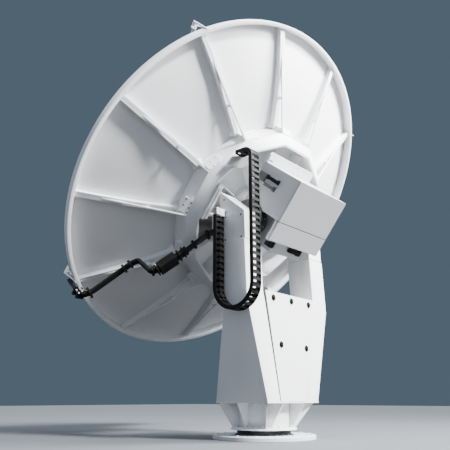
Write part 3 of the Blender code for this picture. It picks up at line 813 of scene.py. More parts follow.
@dataclass
class Dish(Tilting):
    """The reflector: its skin in twelve petals, the rim and the ribs."""

    radius: float = 2.25
    focal_length: float = 2.3
    skin: float = 0.012
    forward: float = 0.09
    rib_count: int = 12
    first_rib: float = math.radians(15)
    rim_inner: float = 2.205
    rim_rear: float = 0.057
    rim_lip: float = 0.012
    rib_outer_depth: float = 0.014
    rib_inner_depth: float = 0.57
    rib_inner: float = 1.09
    rib_side: float = 0.08
    rib_half: float = 0.032
    seam_start: float = 0.45
    seam_depth: float = 0.002

    def front(self, radius: Measure) -> Measure:
        """Depth of the front face: the squares' difference over four focal lengths, less the set forward."""
        return (self.radius**2 - radius**2) / (4 * self.focal_length) - self.forward

    def back(self, radius: Measure) -> Measure:
        """Depth of the back face, with a hair's gap."""
        return self.front(radius) + self.skin + 0.0005

    def rib_angles(self) -> Array:
        """Angle of each rib round the beam."""
        return self.first_rib + 2 * np.pi * np.arange(self.rib_count) / self.rib_count

    def petals(self) -> Shell:
        """The skin: a paraboloid whose front sinks by 2 mm along the joints between the petals.

        Columns within 5 mm of a joint keep their distance from it at every radius. The rest are even.
        """
        first, edge = 0.06, self.seam_start
        outside = [edge - 0.003, edge + 0.003], np.linspace(0.5, self.rim_inner - 0.0005, 30)
        radii = np.concatenate([[0.0], np.linspace(first, 0.43, 5), *outside])
        offsets = np.array([0.0, 0.0015, 0.005])
        near = np.minimum(offsets[None] / np.maximum(radii, first)[:, None], 0.1)
        step = 2 * np.pi / self.rib_count
        inner = near[:, -1:] + np.linspace(0, 1, 12)[None, 1:-1] * (step - 2 * near[:, -1:])
        petal = np.concatenate([near, inner, step - near[:, :0:-1]], 1)
        angle = (self.rib_angles()[None, :, None] + petal[:, None]).reshape(len(radii), -1)
        in_joint = np.concatenate([[1, 1], np.zeros(petal.shape[1] - 3), [1]])
        joint = np.tile(in_joint, self.rib_count)[None] * (radii > self.seam_start)[:, None]
        depth = self.front(radii)[:, None]
        front, back = depth + self.seam_depth * joint, depth + self.skin
        rows = [polar(radii[:, None], angle, front), polar(radii[:, None], angle, back)[::-1]]
        return loft(np.swapaxes(np.concatenate(rows), 0, 1), closed=True, wrap=False)

    def rim_profile(self) -> list[tuple[float, float]]:
        """The rim's outline as (radius, height): a channel open to the front, with its rear edges rounded."""
        inner, outer, rear, wall = self.rim_inner, self.radius, self.rim_rear, 0.006
        on_skin = self.front(inner)
        soft, cut = 0.005, 0.0015
        corners = [
            (outer, -self.rim_lip), (outer, rear - soft), (outer - cut, rear - cut), (outer - soft, rear),
            (inner + soft, rear), (inner + cut, rear - cut), (inner, rear - soft), (inner, on_skin),
            (inner + wall, on_skin), (inner + wall, rear - wall), (outer - wall, rear - wall),
            (outer - wall, -self.rim_lip),
        ]
        return [(r, TILT.axis_to_rim - depth) for r, depth in corners]

    def ridge(self, radius: Array) -> Array:
        """Depth of a rib's ridge: a straight line from the hub ring to the rim, never under its sides."""
        share = (radius - self.rib_inner) / (self.rim_inner - self.rib_inner)
        straight = self.rib_inner_depth + (self.rib_outer_depth - self.rib_inner_depth) * share
        return np.maximum(straight, self.back(radius) + self.rib_side + 0.001)

    def rib(self, angle: float) -> Shell:
        """One rib: a beam that follows the skin, a straight bar above it and plates that join the two.

        At the hub ring the beam's foot spreads, by 60 mm times the square of the share of the last 90 mm.

        Args:
            angle: where the rib stands round the beam.

        Returns:
            The beam, the bar and the plates.
        """
        start, half, spread = self.rib_inner + 0.0005, self.rib_half, 1.18
        near = [start, 1.10, 1.12, 1.14, spread]
        radius = np.concatenate([near, np.linspace(1.25, 2.1, 12), [2.15, self.rim_inner - 0.0018]])
        foot = self.back(radius)
        top, none = foot + self.rib_side, 0 * radius
        flare = 0.060 * np.clip((spread - radius) / 0.09, 0, 1) ** 2
        side = [(half - 0.006 + flare, foot)]
        crest = (half, 0.001), (half - 0.002, 0.0), (0.004, 0.0), (0.003, 0.004)
        for aside, drop in ((half - 0.006, 0.010), (half, 0.007), *crest):
            side.append((aside + none, top - drop))
        aside, depth = np.transpose([(-a, d) for a, d in side] + side[::-1], (1, 2, 0))
        beam = loft(polar(radius[:, None], angle, depth, aside))
        ends = np.array([start, 1.93])[:, None]
        edge = np.array([-0.008, 0.008, 0.008, -0.008])
        bar = loft(polar(ends, angle, self.ridge(ends) + [-0.022, -0.022, 0.0, 0.0], edge))
        plates = []
        for r in np.array([(start, 1.135), (1.44, 1.47), (1.72, 1.75)]):
            low, high = self.back(r) + self.rib_side - 0.004, self.ridge(r) - 0.008
            corners = np.array([*r, *r[::-1]]), np.array([*low, *high[::-1]])
            plates.append(loft(polar(corners[0], angle, corners[1], np.array([[-0.004], [0.004]]))))
        return joined([beam, bar, *plates])

    def build(self) -> None:
        """Makes the skin, rim and ribs."""
        self.piece("reflector_skin", self.petals(), "dish_white", "reflector", smooth=40)
        self.piece("rim_flange", turned(self.rim_profile(), 288), "dish_white", "rim_ring")
        for number, angle in enumerate(self.rib_angles(), 1):
            beam = self.rib(angle)
            self.piece(f"rib_beam_{number:02d}", beam, "dish_white", f"rib_{number:02d}", smooth=20)


@dataclass
class Hub(Tilting):
    """The twelve-sided hub ring, the drum in its middle and the mount plate on the drum."""

    dish: Dish = field(default_factory=Dish)
    corner: float = 1.09
    crest: float = 0.985
    inner: float = 0.93
    lip: float = 0.963
    crest_depth: float = 0.68
    drum_radius: float = 0.43
    plate_half: float = 0.44
    plate_low: float = -0.2
    plate_high: float = 0.80
    plate_y: float = 0.17
    sheet: float = 0.006
    # Place and outline of the painted shade plate inside the hub ring.
    shade_plate_y: float = 0.340
    bracket_y: float = 0.210
    flat_share: float = 0.966
    shade_plate: tuple[tuple[float, float], ...] = (
        (-0.885, -0.251), (-0.655, -0.189), (-0.502, -0.410), (-0.701, -0.527),
    )
    bracket: tuple[tuple[float, float], ...] = (
        (-0.975, 0.447), (-0.952, 0.552), (-0.741, 0.633), (-0.657, 0.552), (-0.741, 0.477),
    )

    def ring(self) -> Shell:
        """The ring: an outline with an outer slope and a grooved crest, set at each of the twelve corners."""
        inner, outer, crest = self.lip, self.corner, self.crest_depth - 0.012
        corners = [
            (outer, self.dish.back(outer * self.flat_share)), (outer, 0.566), (outer - 0.003, 0.571),
            (self.crest + 0.004, crest - 0.001), (self.crest, crest), (inner + 0.001, crest),
            (inner, crest - 0.003), (inner, crest - 0.025), (inner + 0.010, crest - 0.030),
            (inner + 0.010, self.dish.back(inner * self.flat_share)),
        ]
        profile = [(r, TILT.axis_to_rim - depth) for r, depth in corners]
        return turned(profile, self.dish.rib_count, self.dish.first_rib)

    def tray(self) -> Shell:
        """The grooved tray along the inside of one flat of the ring, between the ribs at 165 and 195 degrees.

        Each point of its outline keeps its distance from the flat: radius is that distance over a cosine.
        """
        turn = np.radians([[166.5], [180.0], [193.5]])
        outline = [
            (0.962, 0.655), (0.962, 0.700), (0.945, 0.700), (0.943, 0.668), (0.926, 0.668), (0.924, 0.700),
            (0.908, 0.700), (0.906, 0.668), (0.894, 0.668), (0.892, 0.690), (0.880, 0.690), (0.880, 0.655),
        ]
        flat, depth = np.transpose(outline)
        return loft(polar(flat * math.cos(np.pi / 12) / np.cos(turn - np.pi), turn, depth))

    def gusset(self, angle: float) -> tuple[Shell, Shell]:
        """The sloping plate against the ring's wall on one side of a corner, and the five bolts on it.

        Both are worked out from the middle line of the flat before the corner: a spot is a distance out along
        that line, a depth and a step aside, and the plate's face falls 1.1 mm for each millimetre outwards.

        Args:
            angle: where the corner is, round the beam.

        Returns:
            The plate and its bolts.
        """
        middle = angle - np.pi / 12
        wall, reach, fall = self.corner * math.cos(np.pi / 12) + 0.001, 0.068, 0.075
        out = np.array([wall, wall + reach, wall + reach, wall])
        plate = loft(polar(out, middle, [0.570, 0.495, 0.480, 0.480], np.array([[0.085], [0.262]])))
        share = np.array([0.12, 0.12, 0.10, 0.80, 0.80])
        aside = np.array([0.123, 0.186, 0.245, 0.109, 0.184])
        spots = polar(wall + reach * share, middle, 0.571 - fall * share, aside)
        facing = np.array([0.74 * math.cos(middle), -0.67, 0.74 * math.sin(middle)])
        return plate, bolts(spots, facing, 0.006, 0.006)

    def drum(self) -> Shell:
        """The drum: a wall with a flange at the skin and one under the mount plate, turned round the beam."""
        r, rear = self.drum_radius, self.plate_y + 0.0305
        front, near, middle = (TILT.axis_to_rim - self.dish.back(reach) for reach in (r, 0.20, 0.0))
        outline = [
            (0.0, rear), (r, rear), (r, rear + 0.018), (r - 0.03, rear + 0.018), (r - 0.03, front - 0.016),
            (r - 0.002, front - 0.016), (r - 0.002, front - 0.001), (0.20, near - 0.002),
            (0.0, middle - 0.002),
        ]
        return turned(outline, 96)

    def stiffeners(self) -> Shell:
        """Radial plates on the skin from the drum to the ring, one at each rib, low enough for the heads."""
        radius = np.linspace(self.drum_radius - 0.028, self.inner * 0.998, 9)
        rear, foot = np.linspace(0.580, 0.572, 9), self.dish.back(radius)
        depth, aside = np.stack([foot, rear, rear, foot], 1), np.array([-0.004, -0.004, 0.004, 0.004])
        return joined([loft(polar(radius[:, None], a, depth, aside)) for a in self.dish.rib_angles()])

    def mount_plate(self) -> Shell:
        """The plate between the drum and the cabinet, with its top corners cut."""
        a, low, high, cut = self.plate_half, self.plate_low, self.plate_high, 0.03
        outline = [(-a, low), (a, low), (a, high - cut), (a - cut, high), (-a + cut, high), (-a, high - cut)]
        return prism(outline, self.plate_y + 0.001, self.plate_y + 0.030, "xzy")

    def build(self) -> None:
        """Makes the ring, drum, stiffeners, plate and bolts."""
        white, y = "dish_white", self.plate_y
        self.piece("hub_rim_ring", self.ring(), white, "hub_ring", smooth=25)
        self.piece("hub_tray", self.tray(), white)
        self.piece("hub_core_drum", self.drum(), white, "hub_drum")
        self.piece("hub_stiffeners", self.stiffeners(), white)
        plates, heads = zip(*(self.gusset(angle) for angle in self.dish.rib_angles()))
        self.piece("hub_ring_bolts", heads[6], "screw")
        self.piece("hub_ring_gussets", joined([*plates, *heads[:6], *heads[7:]]), white, smooth=20)
        # Painted shade: a dark grey plate inside the hub ring, where the ring's inside lies in shade.
        shade_plate = prism(self.shade_plate, self.shade_plate_y, self.shade_plate_y + self.sheet, "xzy")
        self.piece("hub_shade_plate", shade_plate, "fitting")
        bracket = prism(self.bracket, self.bracket_y, self.bracket_y + self.sheet, "xzy")
        self.piece("chain_hub_bracket", bracket, "grey")
        self.piece("antenna_mount_plate", self.mount_plate(), white, "mount_plate", bevel=0.003)
        marks = [
            (-0.071, 0.775), (0.065, 0.766), (0.128, 0.780), (0.239, 0.768), (0.063, 0.690), (0.17, 0.692),
            (0.255, 0.690),
        ]
        spots = [(x, y + 0.001, z) for x, z in marks]
        self.piece("mount_plate_bolts", bolts(spots, (0, -1, 0), 0.0055, 0.006), "steel")
        # Painted shade: a thin dark box on the plate's rear face stands in for the shade inside its slot.
        slot_shade = boxes(((-0.435, y - 0.001, 0.698), (-0.365, y + 0.0015, 0.710)))
        self.piece("mount_plate_slot_shade", slot_shade, "shadow")


@dataclass
class Receiver(Tilting):
    """The receiver cabinet on its cradle, with its handle, connectors and shafts."""

    half: float = 0.48
    rear: float = -0.444
    front: float = 0.1695
    low: float = 0.175
    high: float = 0.675
    strip_low: float = -0.065
    strip_high: float = 0.165
    cradle_rear: float = -0.384
    cradle_half: float = 0.30
    cradle_low: float = -0.2
    panel: float = 0.009
    joint: float = 0.005

    def cabinet_panels(self) -> Shell:
        """Six outer panels, each set in from the cabinet's edges so that the core's painted shade shows as a
        dark joint between them.
        """
        h, r, f, lo, hi, p, j = self.half, self.rear, self.front, self.low, self.high, self.panel, self.joint
        inside = r + p + j
        return boxes(
            ((-h, inside, lo + j), (-h + p, f, hi - j)),
            ((h - p, inside, lo + j), (h, f, hi - j)),
            ((-h + 0.002, r, lo + 0.001), (h - 0.002, r + p, hi - j)),
            ((-h + 0.001, inside, hi - p), (h - 0.001, f, hi)),
            ((-h + 0.001, inside, lo), (h - 0.001, f, lo + p)),
            ((-h + 0.004, r + 0.002, hi - j + 0.002), (h - 0.004, inside - 0.002, hi - 0.002)),
        )

    def cabinet_shade_core(self) -> Shell:
        """The dark body behind the panels: painted shade that shows in the joints between them."""
        s, h = self.panel - 0.002, self.half
        return boxes(((-h + s, self.rear + s, self.low + s), (h - s, self.front - 0.001, self.high - s)))

    def strip_panel(self) -> Shell:
        """The lower rear strip, folded forwards at its lower edge and at both ends."""
        rear, low, high, seat, half = self.rear, self.strip_low, self.strip_high, self.cradle_rear, self.half
        outline = [
            (rear, high), (rear, low + 0.012), (rear + 0.012, low), (seat - 0.001, low),
            (seat - 0.001, low + 0.006), (rear + 0.014, low + 0.006), (rear + 0.006, low + 0.014),
            (rear + 0.006, high),
        ]
        ends = []
        for wide, y0, y1 in ((0.006, rear + 0.001, rear + 0.018), (0.016, rear + 0.026, seat)):
            for x in (0.001 - half, half - 0.001 - wide):
                ends.append(((x, y0, low + 0.002), (x + wide, y1, high - 0.001)))
        return joined([prism(outline, -half, half), boxes(*ends)])

    def seam(self) -> Shell:
        """Painted shade: a dark block in the joint between the cabinet and the strip, standing in for the
        shade in the gap.
        """
        low, high = self.strip_high - 0.004, self.low - 0.001
        return boxes(((-0.47, self.rear + 0.010, low), (0.47, self.rear + 0.040, high)))

    def cradle(self) -> Shell:
        """The cradle between the arms."""
        wide = self.cradle_half
        return boxes(((-wide, self.cradle_rear, self.cradle_low), (wide, self.front, self.low - 0.001)))

    def pockets(self) -> Shell:
        """The dark lining of the pockets beside the cradle: sides, back plates, the cabinet's underside."""
        wide, top, rear = self.cradle_half, self.low - 0.001, self.cradle_rear
        pairs = []
        for side in (-1, 1):
            for near, far, y0, y1, z0, z1 in (
                (wide + 0.0005, wide + 0.004, rear + 0.002, self.front, -0.195, top - 0.004),
                (wide + 0.004, 0.46, rear, rear + 0.012, 0.03, 0.13),
                (wide + 0.004, 0.47, rear, self.front, top - 0.003, top),
            ):
                x0, x1 = sorted((side * near, side * far))
                pairs.append(((x0, y0, z0), (x1, y1, z1)))
        return boxes(*pairs)

    def collars(self) -> Shell:
        """Stepped rings on both sides of the cradle, round the elevation axis."""
        bore, inside, step, outside = 0.1005, 0.301, 0.33, 0.40
        rim = [(0.165, inside), (0.165, step), (0.135, step + 0.015), (0.135, outside)]
        return both_sides(turned([(bore, inside), *rim, (bore, outside)], 64))

    def collar_bolts(self) -> Shell:
        """Bolts round both collars, facing outwards along the elevation axis."""
        round_axis = circle(0.15, 10)
        sides = []
        for side in (-1, 1):
            spots = np.insert(round_axis, 0, side * 0.330, axis=1)
            sides.append(bolts(spots, (side, 0, 0), 0.009, 0.009))
        return joined(sides)

    def handle(self) -> Shell:
        """The side handle: a deep grip carried over two feet."""
        wall, out = -self.half, -self.half - 0.028
        corners = [(wall, 0.012, 0.538), (out, 0.012, 0.538), (out, -0.170, 0.531), (wall, -0.170, 0.531)]
        grip = carried(rounded(0.021, 0.010, 0.005), bent(np.array(corners), 0.02), (0, 0, 1))
        feet = [((wall - 0.010, y - 0.018, 0.508), (wall, y + 0.018, 0.562)) for y in (0.010, -0.165)]
        return joined([grip, boxes(*feet)])

    def latches(self) -> Shell:
        """Darker latch plates in front of the handle and below it, each with a raised keeper."""
        x = -self.half
        pairs = []
        for y0, z0, y1, z1 in (
            (0.026, 0.455, 0.150, 0.562), (-0.170, 0.425, 0.020, 0.462), (-0.175, 0.415, -0.130, 0.475),
        ):
            pairs.append(((x - 0.010, y0, z0), (x, y1, z1)))
            pairs.append(((x - 0.018, y0 + 0.012, z0 + 0.008), (x - 0.009, y1 - 0.012, z1 - 0.008)))
        return boxes(*pairs)

    def connectors(self) -> Shell:
        """Two plug housings under the strip: a body with ribs across it and a lower hood at one end."""
        top, y0, y1 = self.strip_low - 0.0005, self.rear + 0.006, self.cradle_rear - 0.004
        pairs = []
        for x0, x1 in ((-0.47, -0.33), (-0.03, 0.20)):
            pairs.append(((x0 + 0.006, y0 + 0.004, top - 0.060), (x1 - 0.006, y1, top)))
            for x in np.linspace(x0 + 0.010, x1 - 0.018, 7):
                pairs.append(((x, y0 - 0.002, top - 0.064), (x + 0.008, y1, top - 0.004)))
            pairs.append(((x1 - 0.070, y0 + 0.006, top - 0.076), (x1 - 0.012, y1 - 0.004, top - 0.058)))
        return boxes(*pairs)

    def build(self) -> None:
        """Makes the cabinet, the cradle and their fittings."""
        self.piece("cabinet_panels", self.cabinet_panels(), "grey", "receiver_box", bevel=0.0025)
        # Painted shade: the near-black core shows in the joints between the panels.
        self.piece("cabinet_shade_core", self.cabinet_shade_core(), "shadow")
        self.piece("cradle_strip", self.strip_panel(), "grey", "cradle_rear_panel", bevel=0.0015)
        # Painted shade in the joint between the cabinet and the strip.
        self.piece("strip_joint_shade", self.seam(), "shadow")
        self.piece("cradle_core", self.cradle(), "grey", "cradle", Slot.DARK, 0.004)
        self.piece("cradle_pockets", self.pockets(), "grey", slot=Slot.DARK)
        self.piece("shaft_collars", self.collars(), "dark", smooth=30)
        self.piece("shaft_collar_bolts", self.collar_bolts(), "steel")
        self.dress("steel", "left_shaft", "right_shaft")
        self.piece("cabinet_handle", self.handle(), "plastic", "box_handle")
        self.piece("cabinet_latches", self.latches(), "fitting", bevel=0.002)
        solids = "left_connector right_connector"
        self.piece("plug_housings", self.connectors(), "plastic", solids, bevel=0.002)
        heights = self.low + 0.03, self.high - 0.03
        spots = [(x, self.rear, z) for x in (-0.43, -0.14, 0.14, 0.43) for z in heights]
        self.piece("cabinet_screws", bolts(spots, (0, -1, 0), 0.004, 0.003), "steel")


@dataclass
class Waveguide(Tilting):
    """The black rectangular line from the hub to the rim and along a strut to the horn."""

    angle: float = math.radians(225)
    start_angle: float = math.radians(210)
    wide: float = 0.029
    high: float = 0.019
    filter_start: tuple[float, float, float] = (1.14, 0.730, -0.22)
    filter_end: tuple[float, float, float] = (1.51, 0.725, -0.18)

    def spots(self, *rows: tuple[float, float, float]) -> Array:
        """Tilting-frame places from (radius, depth, aside) rows at the line's own angle."""
        radius, depth, aside = np.transpose(rows)
        return polar(radius, self.angle, depth, aside)

    def outwards(self) -> Array:
        """The direction from the beam's line towards the line's own angle."""
        return polar(1.0, self.angle, TILT.axis_to_rim)

    def hub_route(self) -> Array:
        """Middle line from the drum's wall over the hub ring to the filter."""
        drum = polar(np.array([0.4305, 0.55]), self.start_angle, 0.60)
        return bent(np.concatenate([drum, self.spots((0.81, 0.706, -0.25), self.filter_start)]), 0.07)

    def rim_route(self) -> Array:
        """Middle line from the filter to the flange at the rim."""
        return bent(self.spots(
            self.filter_end, (1.57, 0.69, -0.18), (1.575, 0.42, -0.175), (1.65, 0.385, -0.155),
            (2.16, 0.30, 0.0), (2.270, 0.27, 0.012), (2.295, 0.14, 0.0), (2.295, -0.06, -0.004),
        ), 0.04)

    def feed_route(self) -> Array:
        """Middle line from the rim beside the strut to the horn's throat."""
        rim = (2.295, -0.05, -0.004), (2.19, -0.125, 0.048)
        return bent(self.spots(*rim, (0.16, -1.90, 0.04), (0.05, -1.94, 0.0)), 0.05)

    def flange_pairs(self, route: Array, shares: Sequence[float]) -> Shell:
        """Pairs of bolted plates across a route.

        Args:
            route: the middle line as (points, 3).
            shares: where the pairs sit, from 0 to 1 of its length.

        Returns:
            The plates with their nuts.
        """
        plates = [prism(rounded(0.034, 0.048, 0.008), z, z + 0.010, "xyz") for z in (-0.0115, 0.0015)]
        corners = [(x, y, 0.0115) for x in (-0.026, 0.026) for y in (-0.038, 0, 0.038)]
        nuts = bolts(corners, (0, 0, 1), 0.005, 0.006)
        return repeated(joined([*plates, nuts]), *frames_along(route, shares, (0, 1, 0)))

    def filter_block(self) -> Shell:
        """The filter: a wide block with fins across it towards the rim, and a plain stretch with plates."""
        ends = self.spots(self.filter_start, self.filter_end)
        half = route_length(ends)[-1] / 2
        low, high = -half + 0.115, half - 0.030
        slabs = [(0.030, 0.038, 0.005, -half + 0.012, half - 0.012), (0.050, 0.062, 0.006, low, high)]
        fins = np.linspace(low + 0.012, high - 0.012, 9)
        slabs += [(0.054, 0.066, 0.004, z - 0.005, z + 0.005) for z in fins]
        plates = -half + 0.007, -half + 0.070, half - 0.007
        slabs += [(0.047, 0.056, 0.008, z - 0.0065, z + 0.0065) for z in plates]
        shapes = [prism(rounded(*outline), start, stop, "xyz") for *outline, start, stop in slabs]
        tuners = [(-0.050, y, z) for z in np.linspace(low + 0.03, high - 0.03, 4) for y in (-0.03, 0.03)]
        shapes.append(bolts(tuners, (-1, 0, 0), 0.006, 0.010))
        return repeated(joined(shapes), *frames_along(ends, [0.5], (0, 1, 0)))

    def rim_elbow(self) -> Shell:
        """The bolted elbow at the rim: three square flanges with their nuts."""
        spots = self.spots((2.195, 0.292, 0.005), (2.286, 0.235, 0.012), (2.295, 0.165, 0.002))
        facing = np.stack([self.outwards(), [0.0, -1.0, 0.0], [0.0, -1.0, 0.0]])
        plate = prism(rounded(0.052, 0.052, 0.012), -0.009, 0.009, "xyz")
        grid = (-0.038, 0, 0.038)
        corners = [(x, y, 0.009) for x in grid for y in grid if x or y]
        nuts = bolts(corners, (0, 0, 1), 0.007, 0.009)
        return repeated(joined([plate, nuts]), spots, turned_frames(facing))

    def elbow_nuts(self) -> Shell:
        """Bright nuts on the side of the elbow that looks away from the beam."""
        rows = [(radius, depth, -0.034) for radius in (2.262, 2.300) for depth in (0.250, 0.215, 0.180)]
        facing = polar(0.0, self.angle, TILT.axis_to_rim, -1.0)
        return bolts(self.spots(*rows), facing, 0.008, 0.014)

    def stays(self) -> Shell:
        """Pale stays that hold the line off the rib and the hub ring."""
        shapes = []
        for radius, depth, aside, foot in (
            (1.05, 0.705, -0.205, 0.60), (1.42, 0.68, -0.16, 0.43), (1.66, 0.365, -0.13, 0.33),
        ):
            ends = self.spots((radius, depth, aside), (radius, foot, -0.02))
            shapes.append(carried(rounded(0.020, 0.004, 0.002), ends, self.outwards()))
        return joined(shapes)

    def build(self) -> None:
        """Makes the line, its flanges, the filter, the elbow and the stays."""
        outline = rounded(self.high, self.wide, 0.004)
        hub, rim, feed = self.hub_route(), self.rim_route(), self.feed_route()
        self.piece("guide_hub_run", carried(outline, hub, (0, 1, 0)), "guide", "waveguide_hub_run")
        self.piece("guide_filter", self.filter_block(), "guide", "waveguide_filter")
        self.piece("guide_rim_run", carried(outline, rim, (0.6, 1, 0.6)), "guide", "waveguide_rim_run")
        self.piece("guide_feed_run", carried(outline, feed, (0.7, 0.1, 0.7)), "guide")
        pairs = [self.flange_pairs(hub, (0.52, 0.80, 0.965)), self.flange_pairs(rim, (0.03, 0.31, 0.37))]
        self.piece("guide_flanges", joined(pairs), "guide")
        self.piece("guide_rim_elbow", self.rim_elbow(), "guide")
        self.piece("guide_elbow_nuts", self.elbow_nuts(), "steel")
        bar = np.array([(-0.862, 0.215, -0.729), (-0.30, 0.215, -0.20)])
        self.piece("guide_support_bar", carried(rounded(0.006, 0.024, 0.003), bar, (0, 1, 0)), "white")
        self.piece("guide_stays", self.stays(), "white")


@dataclass
class Feed(Tilting):
    """The horn at the focus with its collar and four struts."""

    dish: Dish = field(default_factory=Dish)
    strut_angles: tuple[float, ...] = tuple(math.radians(45 + 90 * n) for n in range(4))
    lug_aside: float = -0.045

    @property
    def focus(self) -> float:
        """Where the focus lies along the beam: a focal length in front of the middle of the dish."""
        return TILT.axis_to_rim - self.dish.front(0.0) + self.dish.focal_length

    def horn(self) -> Shell:
        """The horn: a ringed cup that opens to the dish, a cone and a tube, turned round the beam."""
        outline = [
            (0.0, -0.02), (0.040, -0.02), (0.050, -0.085), (0.056, -0.085), (0.058, -0.045), (0.070, -0.045),
            (0.072, -0.095), (0.078, -0.095), (0.080, -0.055), (0.092, -0.055), (0.094, -0.098),
            (0.106, -0.100), (0.109, -0.095), (0.109, 0.020), (0.070, 0.100), (0.070, 0.292), (0.064, 0.299),
            (0.0, 0.299),
        ]
        return turned([(r, self.focus + y) for r, y in outline], 64)

    def collar(self) -> Shell:
        """The collar that takes the struts, with a step on each face."""
        rim = [(0.136, 0.161), (0.139, 0.164), (0.139, 0.196), (0.136, 0.199)]
        outline = [(0.0705, 0.161), *rim, (0.0705, 0.199)]
        return turned([(r, self.focus + y) for r, y in outline], 64)

    def strut(self, angle: float) -> Shell:
        """One strut: a round tube from the rim to the collar, on a lug plate with an opening.

        Args:
            angle: where the strut stands round the beam.

        Returns:
            The tube and the lug.
        """
        depth = np.array([-0.135, TILT.axis_to_rim - self.focus - 0.18])
        tube = carried(circle(0.022, 24), polar(np.array([2.240, 0.145]), angle, depth), (0, 0, 1))
        outer = np.array([(2.2515, 0.100), (2.296, -0.190), (2.200, -0.285), (2.2515, -0.110)])
        inner = outer.mean(0) + (outer - outer.mean(0)) * 0.5
        near, far = self.lug_aside, self.lug_aside + 0.012
        rows = []
        for outline, aside in ((outer, near), (outer, far), (inner, far), (inner, near)):
            radius, depth = outline.T
            rows.append(polar(radius, angle, depth, aside))
        return joined([tube, loft(np.stack(rows), closed=True)])

    def pins(self) -> Shell:
        """The pin through the foot of every strut and its lug, with a head at both ends."""
        lug = self.lug_aside
        stretches = (0.009, lug - 0.008, 0.030), (0.015, lug - 0.010, lug), (0.015, 0.023, 0.032)
        shapes = []
        for angle in self.strut_angles:
            for radius, near, far in stretches:
                ends = polar(2.245, angle, -0.150, np.array([near, far]))
                shapes.append(carried(circle(radius, 12), ends, (0, 1, 0)))
        return joined(shapes)

    def build(self) -> None:
        """Makes the horn, the collar, the struts and their pins."""
        self.piece("horn_cup", self.horn(), "white", "feed_horn")
        self.piece("horn_collar", self.collar(), "white", "feed_collar")
        for number, angle in enumerate(self.strut_angles, 1):
            strut = self.strut(angle)
            self.piece(f"horn_strut_{number}", strut, "dish_white", f"feed_strut_{number}", smooth=40)
        self.piece("strut_pins", self.pins(), "white")


# The turning pedestal


